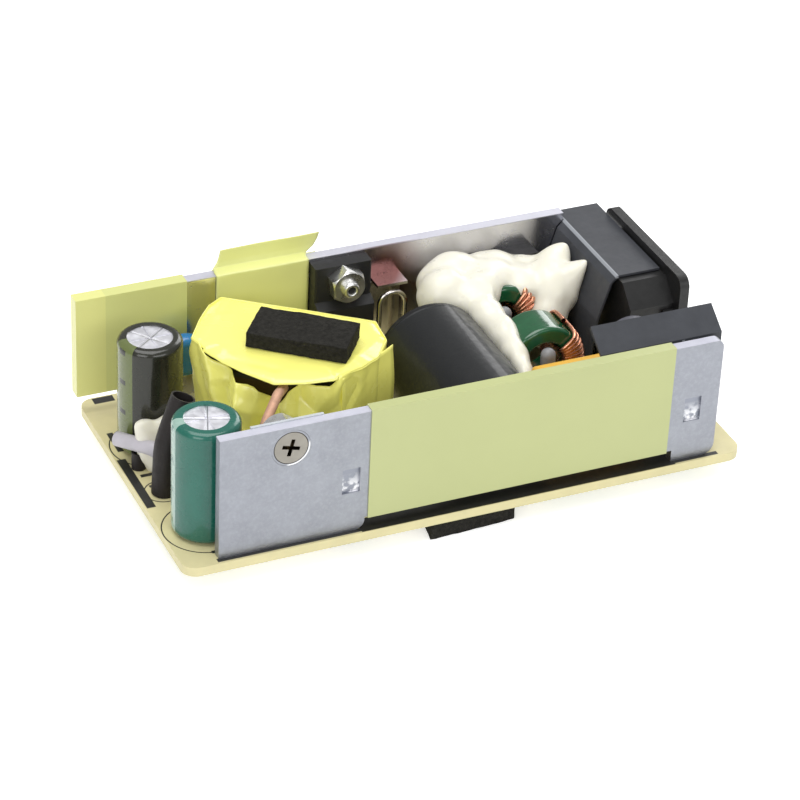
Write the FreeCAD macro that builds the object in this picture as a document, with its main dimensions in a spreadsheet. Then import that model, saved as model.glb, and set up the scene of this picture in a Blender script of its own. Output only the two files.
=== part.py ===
import FreeCAD, Part
import math
import os
import re
import Sketcher
from FreeCAD import Placement, Rotation, Vector

# Open frame power supply: a mains adapter's circuit board with two heatsinks, without its case.
# Millimetres. Places are measured from the board's front left corner, on its top face:
# x runs right along the board, y back, z up. The origin of the finished part is the middle
# of its outline at the bottom of the foam pad under the board, so each piece is shifted there last.

SIZES = {
    # Circuit board and what is under it
    "board_length": 97.4,
    "board_width": 51.4,
    "board_thickness": 1.6,
    "board_corner": 2.5,
    "hole_slack": 0.3,
    "joint_height": 1.0,
    "joint_rim": 0.45,
    "stub_height": 1.6,
    "foam_x": 41.4,
    "foam_y": 0.15,
    "foam_length": 15.2,
    "foam_width": 8.0,
    "foam_height": 3.0,
    "foam_skew": 1.5,
    "foam_turn": 3.3,
    # Front heatsink
    "heatsink_height": 21.75,
    "front_start": 5.8,
    "front_end": 92.3,
    "front_face": 1.13,
    "front_sheet": 1.6,
    "front_raise_start": 30.2,
    "front_raise_end": 84.5,
    "front_raise": 2.1,
    "front_foot_corner": 1.7,
    "front_top_corner": 1.5,
    "front_bottom_corner": 2.0,
    "front_screw_x": 17.46,
    "front_screw_height": 17.94,
    "dimple_left_x": 27.7,
    "dimple_right_x": 87.6,
    "dimple_height": 9.45,
    "dimple_wide": 3.0,
    "dimple_tall": 4.5,
    "dimple_depth": 0.4,
    "leg_wide": 3.2,
    "leg_thickness": 0.6,
    "leg_top": 12.2,
    "leg_pin": 1.2,
    # Rear heatsink
    "rear_overhang": 1.3,
    "rear_end": 86.0,
    "rear_face": 47.1,
    "rear_sheet": 2.0,
    "rear_lift": 3.7,
    "rear_lift_end": 14.0,
    "rear_screw_x": 44.4,
    "rear_screw_height": 18.1,
    "rear_corner": 1.0,
    "rear_pin_left_x": 21.0,
    "rear_pin_right_x": 60.0,
    "rear_pin": 1.8,
    # Screws and nuts, all of one metric size
    "screw_head": 5.5,
    "screw_shank": 2.9,
    "screw_hole": 3.3,
    "screw_tip": 0.6,
    "recess_length": 3.0,
    "recess_width": 0.65,
    "recess_depth": 1.0,
    "recess_turn": 15.0,
    "nut_across_flats": 5.5,
    "nut_thickness": 2.4,
    "nut_chamfer": 0.45,
    "nut_turn": 7.0,
    # Yellow tape
    "tape_film": 0.2,
    "front_tape_start": 30.7,
    "front_tape_end": 83.5,
    "left_tape_end": 17.6,
    "middle_tape_start": 22.7,
    "middle_tape_end": 39.0,
    "flap_root": 21.0,
    "flap_lean": 2.2,
    "flap_left_top": 24.6,
    "flap_right_top": 25.2,
    # Transistor on the rear heatsink, all in plastic
    "transistor_wide": 10.1,
    "transistor_right": 49.3,
    "transistor_thick": 4.6,
    "transistor_tab": 2.8,
    "transistor_bottom": 5.7,
    "transistor_step": 13.9,
    "transistor_top": 21.2,
    "transistor_edge": 0.35,
    "package_lead_wide": 0.9,
    "package_lead_thick": 0.6,
    "package_pitch": 2.54,
    # Rectifier behind the front heatsink, with a metal tab
    "rectifier_wide": 10.0,
    "rectifier_tab": 1.27,
    "rectifier_top": 20.9,
    "rectifier_body_top": 14.6,
    "rectifier_body_bottom": 5.6,
    "rectifier_body_thick": 3.3,
    "pad_wide": 12.0,
    "pad_bottom": 3.0,
    "pad_top": 21.9,
    "pad_thick": 0.5,
    # Bracket and wire link beside the transistor
    "bracket_start": 50.2,
    "bracket_end": 55.6,
    "bracket_top": 16.4,
    "bracket_foot": 3.0,
    "bracket_metal": 0.5,
    "bracket_reach": 3.6,
    "link_x": 53.1,
    "link_y": 43.9,
    "link_top": 15.0,
    "link_span": 4.6,
    "link_wire": 0.9,
    # Capacitors in cans
    "sleeve_wall": 0.25,
    "can_sink": 0.15,
    "score_depth": 0.12,
    "score_wide": 0.25,
    "stand_gap": 0.2,
    "lead_wire": 0.8,
    "bulk_x": 54.2,
    "bulk_radius": 9.2,
    "bulk_height": 9.8,
    "bulk_near": 4.6,
    "bulk_far": 32.6,
    "bulk_corner": 1.6,
    "bulk_vent": 6.5,
    "bulk_pitch": 7.5,
    "bulk_lead_bend": 1.4,
    "dark_x": 6.9,
    "dark_y": 35.05,
    "dark_radius": 5.3,
    "dark_vent": 3.7,
    "green_x": 7.0,
    "green_y": 9.95,
    "green_radius": 5.45,
    "green_vent": 3.6,
    "upright_top": 20.5,
    "upright_corner": 1.1,
    "upright_pitch": 5.0,
    "aux_x": 41.2,
    "aux_y": 12.6,
    "aux_radius": 2.5,
    "aux_vent": 1.7,
    "aux_top": 11.0,
    "aux_corner": 0.6,
    "aux_pitch": 2.0,
    # Disc parts
    "blue_x": 16.0,
    "blue_y": 43.6,
    "blue_height": 10.2,
    "blue_radius": 3.7,
    "blue_thick": 3.2,
    "disc_lead": 0.6,
    "varistor_x": 83.1,
    "varistor_y": 15.3,
    "varistor_height": 14.7,
    "varistor_radius": 4.8,
    "varistor_thick": 3.6,
    "disc_pitch": 5.0,
    # Orange film capacitor
    "film_start": 63.7,
    "film_length": 18.0,
    "film_front": 4.6,
    "film_wide": 8.5,
    "film_height": 15.0,
    "film_edge": 0.6,
    "film_pitch": 15.0,
    # Chokes: rings that stand across the board, wound at left and right
    "ring_radius": 6.6,
    "ring_hole": 3.6,
    "ring_depth": 7.0,
    "ring_edge": 0.8,
    "ring_height": 10.4,
    "front_choke_x": 70.4,
    "front_choke_y": 20.5,
    "rear_choke_x": 69.2,
    "rear_choke_y": 34.8,
    "coil_wire": 0.95,
    "coil_gap": 0.1,
    "coil_step": 17.5,
    "coil_middle": 8.0,
    "choke_pitch_x": 10.0,
    "choke_pitch_y": 6.0,
    "choke_pin": 0.9,
    "choke_pin_reach": 2.6,
    "divider_radius": 1.25,
    "divider_top": 14.9,
    "divider_gap": 1.2,
    "divider_shift": 0.8,
    "base_wide": 5.0,
    "base_height": 4.4,
    "base_toe": 3.8,
    # Transformer, turned on the board
    "transformer_x": 28.5,
    "transformer_y": 29.45,
    "transformer_turn": -37.0,
    "wrap_film": 0.35,
    "wrap_top": 19.5,
    "wrap_bottom": 0.6,
    "core_length": 26.4,
    "core_depth": 7.6,
    "core_bottom": 2.2,
    "core_top": 19.0,
    "core_yoke": 3.0,
    "core_leg": 7.6,
    "core_side": 3.4,
    "bobbin_gap": 0.15,
    "bobbin_wall": 0.7,
    "winding_gap": 0.5,
    "winding_depth": 15.8,
    "winding_corner": 2.5,
    "rail_inset": 2.2,
    "rail_depth": 3.6,
    "pin_wire": 0.8,
    "pin_inset": 1.0,
    "slit_left": -9.5,
    "slit_right": 8.5,
    "slit_low": 14.9,
    "slit_high": 18.9,
    "block_length": 16.5,
    "block_width": 8.5,
    "block_height": 3.0,
    "block_turn": -38.0,
    "block_x": 29.7,
    "block_y": 26.5,
    "drain_wire": 1.6,
    # Cut sleeves at the left end
    "tall_radius": 2.0,
    "tall_wall": 0.3,
    "tall_wire_top": 7.0,
    "grey_radius": 1.22,
    "grey_wall": 0.3,
    "short_x": 2.9,
    "short_y": 29.3,
    "short_radius": 1.2,
    "short_wall": 0.3,
    "short_top": 3.1,
    "cut_wire": 1.0,
    "wire_drop": 1.2,
    # Hidden parts
    "bridge_start": 62.6,
    "bridge_length": 17.4,
    "bridge_thick": 3.4,
    "bridge_bottom": 2.2,
    "bridge_top": 17.0,
    "bridge_pitch": 5.0,
    "bridge_lead": 1.0,
    "fuse_x": 87.4,
    "fuse_y": 8.6,
    "fuse_length": 8.4,
    "fuse_width": 4.2,
    "fuse_height": 8.0,
    "fuse_pitch": 5.0,
    "chip_x": 33.6,
    "chip_y": 8.7,
    "chip_length": 9.4,
    "chip_width": 6.4,
    "chip_low": 0.6,
    "chip_top": 4.0,
    "chip_pitch": 2.54,
    "chip_row": 7.62,
    "chip_pin_wide": 0.5,
    "chip_pin_thick": 0.3,
    "opto_x": 25.4,
    "opto_length": 4.6,
    # Mains inlet
    "flange_left": 94.3,
    "flange_thick": 1.7,
    "flange_low": 0.2,
    "flange_top": 21.9,
    "flange_wide": 27.3,
    "flange_corner": 2.0,
    "inlet_y": 33.5,
    "inlet_back": 86.3,
    "inlet_wide": 23.6,
    "inlet_low": 0.3,
    "inlet_top": 20.0,
    "inlet_chamfer": 3.5,
    "inlet_rib": 1.0,
    "inlet_back_wall": 1.2,
    "socket_wide": 19.0,
    "socket_tall": 14.0,
    "socket_chamfer": 2.5,
    "socket_height": 11.0,
    "pin_radius": 1.2,
    "pin_spread": 5.0,
    "pin_low": 2.2,
    "pin_high": 3.0,
    "pin_sink": 1.0,
    "tail_wide": 2.0,
    "tail_thick": 0.8,
    # Grey insulation sheets
    "sheet_film": 0.4,
    "cover_gap": 0.15,
    "cover_front": 26.8,
    "cover_rear": 46.9,
    "cover_rear_top": 50.2,
    "cover_right": 94.0,
    "cover_fold": 86.1,
    "guard_film": 0.3,
    "guard_gap": 0.1,
    "guard_start": 71.2,
    "guard_end": 93.0,
    "guard_low": 3.5,
    "guard_reach": 4.2,
    "guard_rise": 3.0,
}

doc = FreeCAD.newDocument("open_frame_power_supply")
sizes = doc.addObject("Spreadsheet::Sheet", "sizes")
for row, (alias, number) in enumerate(SIZES.items(), start=1):
    sizes.set(f"A{row}", alias)
    sizes.set(f"B{row}", str(number))
    sizes.setAlias(f"B{row}", alias)
doc.recompute()

ACROSS, BACK, UP = Vector(1, 0, 0), Vector(0, 1, 0), Vector(0, 0, 1)
ALONG = {
    "x": Rotation(UP, ACROSS),
    "y": Rotation(ACROSS, -90),
    "z": Rotation(),
}
ORIGIN = (
    "(rear_overhang + tape_film - board_length) / 2",
    "-board_width / 2",
    "foam_height + board_thickness",
)
FUNCTIONS = {"sqrt", "sin", "cos", "tan", "deg"}
PLACES = {}
PARTS = {}
HOLES = []
WIRES = []
FLATS = []
CHIP_PINS = []


# Sizes in expressions and numbers
def bound(expression):
    """The expression with every size named as a cell of the sheet."""

    def cell(word):
        return word.group() if word.group() in FUNCTIONS else "sizes." + word.group()

    return re.sub(r"[a-z][a-z_]+", cell, str(expression))


def number(expression):
    """What the expression comes to, for shapes that are made point by point."""
    return float(sizes.evalExpression(str(expression)))


def point(x, y, z):
    return Vector(number(x), number(y), number(z))


def bind(item, **expressions):
    for path, expression in expressions.items():
        item.setExpression(path, bound(expression))
    return item


def place(item, x="0", y="0", z="0"):
    for axis, expression in zip("xyz", (x, y, z)):
        item.setExpression("Placement.Base." + axis, bound(expression))
    PLACES[item.Name] = (x, y, z)
    return item


def turn(item, angle):
    """Turned about the upright axis."""
    item.Placement = Placement(Vector(), Rotation(UP, 1))
    item.setExpression("Placement.Rotation.Angle", bound(angle))
    return item


# Shapes
def block(name, x, y, z):
    """A box from the low and high coordinate on each axis."""
    item = doc.addObject("Part::Box", name)
    spans = [f"({high}) - ({low})" for low, high in (x, y, z)]
    bind(item, Length=spans[0], Width=spans[1], Height=spans[2])
    return place(item, x[0], y[0], z[0])


def rod(name, x, y, z, radius, height, axis="z"):
    item = doc.addObject("Part::Cylinder", name)
    item.Placement = Placement(Vector(), ALONG[axis])
    bind(item, Radius=radius, Height=height)
    return place(item, x, y, z)


def cone(name, x, y, z, radius, end_radius, height, axis="z"):
    item = doc.addObject("Part::Cone", name)
    item.Placement = Placement(Vector(), ALONG[axis])
    bind(item, Radius1=radius, Radius2=end_radius, Height=height)
    return place(item, x, y, z)


def cut(name, base, tool):
    item = doc.addObject("Part::Cut", name)
    item.Base = base
    item.Tool = tool
    return item


def fuse(name, *items):
    item = doc.addObject("Part::MultiFuse", name)
    item.Shapes = list(items)
    item.Refine = True
    return item


def group(name, *items):
    """Separate solids that share one file."""
    item = doc.addObject("Part::Compound", name)
    item.Links = list(items)
    return item


def common(name, *items):
    item = doc.addObject("Part::MultiCommon", name)
    item.Shapes = list(items)
    return item


def rounded(name, base, radius, chosen):
    """The base with a fillet on each edge that chosen() accepts."""
    doc.recompute()
    item = doc.addObject("Part::Fillet", name)
    item.Base = base
    size = number(radius)
    edges = base.Shape.Edges
    item.Edges = [(index, size, size) for index, edge in enumerate(edges, start=1) if chosen(edge)]
    return item


def feature(name, shape):
    item = doc.addObject("Part::Feature", name)
    item.Shape = shape
    return item


def runs_along(edge, axis):
    span = edge.Vertexes[-1].Point - edge.Vertexes[0].Point
    return span.Length > 0 and span.cross(axis).Length < 1e-6


def draw(sketch, points):
    """A closed outline of straight lines, each corner tied to its two expressions."""
    corners = [(number(x), number(y)) for x, y in points]
    count = len(corners)
    for index, corner in enumerate(corners):
        after = corners[(index + 1) % count]
        sketch.addGeometry(Part.LineSegment(Vector(*corner, 0), Vector(*after, 0)))
    for index, (x, y) in enumerate(points):
        sketch.addConstraint(Sketcher.Constraint("Coincident", index, 2, (index + 1) % count, 1))
        for kind, value, expression in zip(("DistanceX", "DistanceY"), corners[index], (x, y)):
            tie = sketch.addConstraint(Sketcher.Constraint(kind, -1, 1, index, 1, value))
            sketch.setExpression(f"Constraints[{tie}]", bound(expression))


def sketch_on(body, role, name):
    sketch = body.newObject("Sketcher::SketchObject", name)
    plane = [item for item in body.Origin.OriginFeatures if item.Role == role][0]
    sketch.AttachmentSupport = [(plane, "")]
    sketch.MapMode = "FlatFace"
    return sketch


def padded(name, role, points, length, reverse=False):
    """A body: an outline on one of its own planes, padded by a length."""
    body = doc.addObject("PartDesign::Body", name)
    sketch = sketch_on(body, role, name + "_outline")
    draw(sketch, points)
    pad = body.newObject("PartDesign::Pad", name + "_pad")
    pad.Profile = sketch
    pad.Reversed = reverse
    bind(pad, Length=length)
    doc.recompute()
    return body


def upright(name, points, front, thickness):
    """A plate that stands across the board's depth: an outline in x and z, padded back from front."""
    body = padded(name, "XZ_Plane", points, thickness, reverse=True)
    return place(body, "0", front, "0")


def across(name, points, left, length):
    """A bar with one section all along: an outline in y and z, padded right from left."""
    body = padded(name, "YZ_Plane", points, length)
    return place(body, left, "0", "0")


def soften(body, name, radius, chosen):
    """A fillet in the body, on the edges that chosen() accepts."""
    edges = body.Shape.Edges
    picked = [f"Edge{index}" for index, edge in enumerate(edges, start=1) if chosen(edge)]
    before = body.Tip
    fillet = body.newObject("PartDesign::Fillet", name)
    fillet.Base = (before, picked)
    bind(fillet, Radius=radius)
    body.Tip = fillet
    doc.recompute()
    return body


def bent(points, radius):
    """A path of straight runs, joined at each inner point by an arc that touches both."""
    pieces = []
    last = points[0]
    for before, corner, after in zip(points, points[1:], points[2:]):
        back, ahead = (before - corner).normalize(), (after - corner).normalize()
        half = back.getAngle(ahead) / 2
        reach = radius / math.tan(half)
        start, end = corner + back * reach, corner + ahead * reach
        middle = (back + ahead).normalize()
        top = corner + middle * (radius / math.sin(half) - radius)
        pieces += [Part.LineSegment(last, start).toShape(), Part.Arc(start, top, end).toShape()]
        last = end
    pieces.append(Part.LineSegment(last, points[-1]).toShape())
    return Part.Wire(pieces)


def pipe(points, radius, bend):
    """A round bar along the bent path."""
    path = bent(points, bend) if len(points) > 2 else Part.Wire(Part.makeLine(*points))
    heading = (points[1] - points[0]).normalize()
    section = Part.Wire(Part.makeCircle(radius, points[0], heading))
    return path.makePipeShell([section], True, False)


def tube(points, radius, wall, bend):
    return pipe(points, radius, bend).cut(pipe(points, radius - wall, bend))


# Finished pieces, leads and their holes
def keep(node, item):
    """The item is a finished piece: it gets its name and the shift to the part's origin."""
    own = PLACES.get(item.Name, ("0", "0", "0"))
    place(item, *[f"({first}) + ({second})" for first, second in zip(ORIGIN, own)])
    item.Label = node
    PARTS[node] = item
    return item


def lead_hole(x, y, across_lead):
    """Notes where a lead crosses the board, for its hole and its solder joint."""
    HOLES.append((x, y, across_lead))


def round_lead(name, x, y, top, diameter):
    lead_hole(x, y, diameter)
    return rod(name, x, y, "-board_thickness", f"{diameter} / 2", f"({top}) + board_thickness")


def flat_lead(name, x, y, top, wide, thick):
    """A flat lead with its broad side to the front."""
    lead_hole(x, y, f"sqrt({wide} * {wide} + {thick} * {thick})")
    return block(
        name,
        (f"({x}) - {wide} / 2", f"({x}) + {wide} / 2"),
        (f"({y}) - {thick} / 2", f"({y}) + {thick} / 2"),
        ("-board_thickness", top),
    )


# Heatsinks
FRONT_BACK = "(front_face + front_sheet)"
REAR_BACK = "(rear_face + rear_sheet)"


def heatsink_front():
    sheet = upright(
        "front_sink",
        [
            ("front_start", "0"),
            ("front_raise_start", "0"),
            ("front_raise_start", "front_raise"),
            ("front_raise_end", "front_raise"),
            ("front_raise_end", "0"),
            ("front_end", "0"),
            ("front_end", "heatsink_height"),
            ("front_start", "heatsink_height"),
        ],
        "front_face",
        "front_sheet",
    )
    corners = [
        ("foot", "front_foot_corner", "front_raise_start", "0"),
        ("top", "front_top_corner", "front_end", "heatsink_height"),
        ("bottom", "front_bottom_corner", "front_end", "0"),
    ]
    for name, radius, x, z in corners:
        at = Vector(number(x), 0, number(z))

        def on_corner(edge):
            start = edge.Vertexes[0].Point
            return runs_along(edge, BACK) and abs(start.x - at.x) + abs(start.z - at.z) < 1e-6

        # The body's own edges are compared before its placement along y
        sheet = soften(sheet, f"front_sink_{name}", radius, on_corner)
    dimples = [
        block(
            f"dimple_{side}",
            (f"dimple_{side}_x - dimple_wide / 2", f"dimple_{side}_x + dimple_wide / 2"),
            ("front_face - 1", "front_face + dimple_depth"),
            ("dimple_height - dimple_tall / 2", "dimple_height + dimple_tall / 2"),
        )
        for side in ("left", "right")
    ]
    sink = countersink("front_screw_seat", "front_screw_x", "front_face", "front_screw_height", "front_sheet")
    keep("heatsink_front", cut("front_sink_cut", sheet, fuse("front_sink_tools", *dimples, sink)))


def countersink(name, x, face, z, thickness):
    """The hole for a countersunk screw that goes in from the front face, backwards."""
    seat_depth = "((screw_head - screw_shank) / 2)"
    mouth = cone(name + "_mouth", x, face, z, "screw_head / 2", "screw_shank / 2", seat_depth, "y")
    hole = rod(name + "_hole", x, face, z, "screw_hole / 2", thickness, "y")
    return fuse(name, mouth, hole)


def heatsink_legs():
    """Legs behind the front heatsink, staked into its two stamped dimples."""
    legs = []
    for side in ("left", "right"):
        x = f"dimple_{side}_x"
        y = f"({FRONT_BACK} + leg_thickness / 2)"
        strip = block(
            f"leg_{side}",
            (f"{x} - leg_wide / 2", f"{x} + leg_wide / 2"),
            (FRONT_BACK, f"{FRONT_BACK} + leg_thickness"),
            ("0", "leg_top"),
        )
        lead_hole(x, y, "leg_pin")
        pin = block(
            f"leg_{side}_pin",
            (f"{x} - leg_pin / 2", f"{x} + leg_pin / 2"),
            (FRONT_BACK, f"{FRONT_BACK} + leg_thickness"),
            ("-board_thickness", "0"),
        )
        legs.append(fuse(f"leg_{side}_whole", strip, pin))
    keep("heatsink_legs", group("legs", *legs))


def heatsink_rear():
    sheet = upright(
        "rear_sink",
        [
            ("-rear_overhang", "rear_lift"),
            ("rear_lift_end", "rear_lift"),
            ("rear_lift_end", "0"),
            ("rear_end", "0"),
            ("rear_end", "heatsink_height"),
            ("-rear_overhang", "heatsink_height"),
        ],
        "rear_face",
        "rear_sheet",
    )
    pins = []
    for side in ("left", "right"):
        x = f"rear_pin_{side}_x"
        y = "(rear_face + rear_sheet / 2)"
        lead_hole(x, y, "rear_pin")
        pins.append(rod(f"rear_{side}_pin", x, y, "-board_thickness", "rear_pin / 2", "board_thickness"))
    screw_y = REAR_BACK
    mouth = cone(
        "rear_seat_mouth",
        "rear_screw_x",
        f"{screw_y} - (screw_head - screw_shank) / 2",
        "rear_screw_height",
        "screw_shank / 2",
        "screw_head / 2",
        "(screw_head - screw_shank) / 2",
        "y",
    )
    at = ("rear_screw_x", "rear_face", "rear_screw_height")
    hole = rod("rear_seat_hole", *at, "screw_hole / 2", "rear_sheet", "y")
    seat = fuse("rear_seat", mouth, hole)
    keep("heatsink_rear", cut("rear_sink_cut", fuse("rear_sink_pins", sheet, *pins), seat))


# Tape
def tape_front():
    outer = block(
        "front_tape_outer",
        ("front_tape_start", "front_tape_end"),
        ("front_face - tape_film", f"{FRONT_BACK} + tape_film"),
        ("front_raise - tape_film", "heatsink_height + tape_film"),
    )
    inner = block(
        "front_tape_inner",
        ("front_tape_start - 1", "front_tape_end + 1"),
        ("front_face", FRONT_BACK),
        ("front_raise", "heatsink_height"),
    )
    keep("tape_front", cut("front_tape", outer, inner))


def tape_rear_left():
    """Folded over the heatsink's left end and its top edge, open below."""
    outer = block(
        "left_tape_outer",
        ("-rear_overhang - tape_film", "left_tape_end"),
        ("rear_face - tape_film", f"{REAR_BACK} + tape_film"),
        ("rear_lift", "heatsink_height + tape_film"),
    )
    inner = block(
        "left_tape_inner",
        ("-rear_overhang", "left_tape_end + 1"),
        ("rear_face", REAR_BACK),
        ("rear_lift - 1", "heatsink_height"),
    )
    keep("tape_rear_left", cut("left_tape", outer, inner))


def tape_rear_middle():
    """Over the heatsink's top edge, with a loose flap that stands up behind it."""
    outer = block(
        "middle_tape_outer",
        ("middle_tape_start", "middle_tape_end"),
        ("rear_face - tape_film", f"{REAR_BACK} + tape_film"),
        ("rear_lift", "heatsink_height + tape_film"),
    )
    inner = block(
        "middle_tape_inner",
        ("middle_tape_start - 1", "middle_tape_end + 1"),
        ("rear_face", REAR_BACK),
        ("rear_lift - 1", "heatsink_height"),
    )
    flap = upright(
        "tape_flap",
        [
            ("middle_tape_start + flap_lean", "flap_root"),
            ("middle_tape_end", "flap_root"),
            ("middle_tape_end + flap_lean", "flap_right_top"),
            ("middle_tape_start + 1.8 * flap_lean", "flap_left_top"),
        ],
        f"{REAR_BACK} + tape_film",
        "tape_film",
    )
    keep("tape_rear_middle", fuse("middle_tape", cut("middle_tape_band", outer, inner), flap))


# Screws and nuts
def screw(name, length, angle):
    """A countersunk screw along z, its head's flat top at z = 0, with a cross recess."""
    head = cone(
        name + "_head", "0", "0", "0", "screw_head / 2", "screw_shank / 2", "(screw_head - screw_shank) / 2"
    )
    shank = rod(name + "_shank", "0", "0", "0", "screw_shank / 2", length)
    arms = []
    crossed = (("recess_length", "recess_width"), ("recess_width", "recess_length"))
    for index, (long, wide) in enumerate(crossed):
        arm = block(
            f"{name}_arm_{index}",
            (f"-{long} / 2", f"{long} / 2"),
            (f"-{wide} / 2", f"{wide} / 2"),
            ("-1", "recess_depth"),
        )
        arms.append(arm)
    cross = fuse(name + "_cross", *arms)
    turn(cross, angle)
    return cut(name + "_cut", fuse(name + "_solid", head, shank), cross)


def nut(name):
    """A hexagon nut along z, from z = 0, one vertex on the y axis before it is turned."""
    prism = doc.addObject("Part::Prism", name + "_prism")
    prism.Polygon = 6
    bind(prism, Circumradius="nut_across_flats / sqrt(3)", Height="nut_thickness")
    turn(prism, "30 + nut_turn")
    crown = cone(
        name + "_crown",
        "0",
        "0",
        "0",
        "nut_across_flats / sqrt(3) + nut_chamfer * 3",
        "nut_across_flats / sqrt(3) - nut_chamfer",
        "nut_thickness",
    )
    hole = rod(name + "_hole", "0", "0", "-1", "screw_shank / 2", "nut_thickness + 2")
    return cut(name + "_cut", common(name + "_solid", prism, crown), hole)


def fasten(item, x, y, z, backwards):
    """Turns a screw or nut made along z so that it points backwards or forwards."""
    item.Placement = Placement(Vector(), Rotation(ACROSS, -90 if backwards else 90))
    return place(item, x, y, z)


def fasteners():
    front_seat = f"({FRONT_BACK} + pad_thick + rectifier_tab)"
    front = screw("front_screw", f"{front_seat} - front_face + nut_thickness + screw_tip", "recess_turn")
    keep("screw_front", fasten(front, "front_screw_x", "front_face", "front_screw_height", True))
    front_nut = fasten(nut("front_nut"), "front_screw_x", front_seat, "front_screw_height", True)
    rear_seat = "(rear_face - transistor_tab)"
    rear = screw("rear_screw", f"{REAR_BACK} - {rear_seat} + nut_thickness + screw_tip", "-recess_turn")
    keep("screw_rear", fasten(rear, "rear_screw_x", REAR_BACK, "rear_screw_height", False))
    rear_nut = fasten(nut("rear_nut"), "rear_screw_x", rear_seat, "rear_screw_height", False)
    keep("nuts", group("nut_group", front_nut, rear_nut))


# Power transistor and rectifier
def power_transistor():
    front = "(rear_face - transistor_thick)"
    tab_front = "(rear_face - transistor_tab)"
    body = across(
        "transistor",
        [
            ("rear_face", "transistor_bottom"),
            ("rear_face", "transistor_top"),
            (tab_front, "transistor_top"),
            (tab_front, "transistor_step + 0.9"),
            (front, "transistor_step"),
            (front, "transistor_bottom"),
        ],
        "transistor_right - transistor_wide",
        "transistor_wide",
    )
    soften(body, "transistor_edges", "transistor_edge", lambda edge: runs_along(edge, UP))
    at = ("rear_screw_x", front, "rear_screw_height")
    hole = rod("transistor_hole", *at, "screw_hole / 2", "transistor_thick", "y")
    keep("power_transistor", cut("transistor_cut", body, hole))
    middle = "(transistor_right - transistor_wide / 2)"
    leads = package_leads("transistor", middle, f"({front} + transistor_thick / 2)", "transistor_bottom")
    FLATS.extend(leads)


def package_leads(name, middle, y, top):
    leads = []
    for index in (-1, 0, 1):
        x = f"({middle} + {index} * package_pitch)"
        label = f"{name}_lead_{index + 1}"
        leads.append(flat_lead(label, x, y, top, "package_lead_wide", "package_lead_thick"))
    return leads


def rectifier():
    x = ("front_screw_x - rectifier_wide / 2", "front_screw_x + rectifier_wide / 2")
    tab_front = f"({FRONT_BACK} + pad_thick)"
    tab_back = f"({tab_front} + rectifier_tab)"
    tab = block("rectifier_tab_plate", x, (tab_front, tab_back), ("rectifier_body_bottom", "rectifier_top"))
    hole = rod(
        "rectifier_hole",
        "front_screw_x",
        tab_front,
        "front_screw_height",
        "screw_hole / 2",
        "rectifier_tab",
        "y",
    )
    keep("rectifier_tab", cut("rectifier_tab_cut", tab, hole))
    body = block(
        "rectifier_moulding",
        x,
        (tab_back, f"{tab_back} + rectifier_body_thick"),
        ("rectifier_body_bottom", "rectifier_body_top"),
    )
    keep("rectifier_body", body)
    y = f"({tab_back} + rectifier_body_thick / 2)"
    leads = package_leads("rectifier", "front_screw_x", y, "rectifier_body_bottom")
    FLATS.extend(leads)
    pad = block(
        "pad_plate",
        ("front_screw_x - pad_wide / 2", "front_screw_x + pad_wide / 2"),
        (FRONT_BACK, tab_front),
        ("pad_bottom", "pad_top"),
    )
    pad_hole = rod(
        "pad_hole", "front_screw_x", FRONT_BACK, "front_screw_height", "screw_hole / 2", "pad_thick", "y"
    )
    keep("insulating_pad", cut("pad_cut", pad, pad_hole))


def bracket_and_link():
    """A folded bracket on the rear heatsink and a round-topped wire link in front of it."""
    bracket = across(
        "bracket",
        [
            ("rear_face", "bracket_foot"),
            ("rear_face", "bracket_top"),
            ("rear_face - bracket_reach", "bracket_top"),
            ("rear_face - bracket_reach", "bracket_top - bracket_metal"),
            ("rear_face - bracket_metal", "bracket_top - bracket_metal"),
            ("rear_face - bracket_metal", "bracket_foot"),
        ],
        "bracket_start",
        "bracket_end - bracket_start",
    )
    keep("spring_clip", bracket)
    half = number("link_span / 2")
    left = point("link_x - link_span / 2", "link_y", "0")
    right = point("link_x + link_span / 2", "link_y", "0")
    foot, top = number("-board_thickness"), number("link_top - link_wire / 2")
    shoulder = top - half
    path = Part.Wire([
        Part.makeLine(left + UP * foot, left + UP * shoulder),
        Part.Arc(left + UP * shoulder, (left + right) / 2 + UP * top, right + UP * shoulder).toShape(),
        Part.makeLine(right + UP * shoulder, right + UP * foot),
    ])
    section = Part.Wire(Part.makeCircle(number("link_wire / 2"), left + UP * foot, UP))
    keep("wire_link", feature("link", path.makePipeShell([section], True, False)))
    for side in ("-", "+"):
        lead_hole(f"(link_x {side} link_span / 2)", "link_y", "link_wire")


# Capacitors in cans
def can_capacitor(name, radius, length, corner, vent):
    """Along z from z = 0: an aluminium can in a plastic sleeve that folds over both its ends."""

    def at_both_ends(edge):
        return edge.Closed

    outer = rounded(
        name + "_outer", rod(name + "_full", "0", "0", "0", radius, length), corner, at_both_ends
    )
    inner = rounded(
        name + "_inner",
        rod(
            name + "_bore",
            "0",
            "0",
            "sleeve_wall",
            f"{radius} - sleeve_wall",
            f"{length} - 2 * sleeve_wall",
        ),
        f"{corner} - sleeve_wall",
        at_both_ends,
    )
    openings = [
        rod(name + "_mouth", "0", "0", f"{length} - 1", vent, "2"),
        rod(name + "_foot", "0", "0", "-1", vent, "2"),
    ]
    sleeve = cut(name + "_sleeve", outer, fuse(name + "_hollow", inner, *openings))
    scores = []
    for index, (long, wide) in enumerate(((f"2 * {vent}", "score_wide"), ("score_wide", f"2 * {vent}"))):
        score = block(
            f"{name}_score_{index}",
            (f"-{long} / 2", f"{long} / 2"),
            (f"-{wide} / 2", f"{wide} / 2"),
            (f"{length} - sleeve_wall - score_depth", f"{length} + 1"),
        )
        scores.append(score)
    can = cut(name + "_can", inner, fuse(name + "_scores", *scores))
    return can, sleeve


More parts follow.
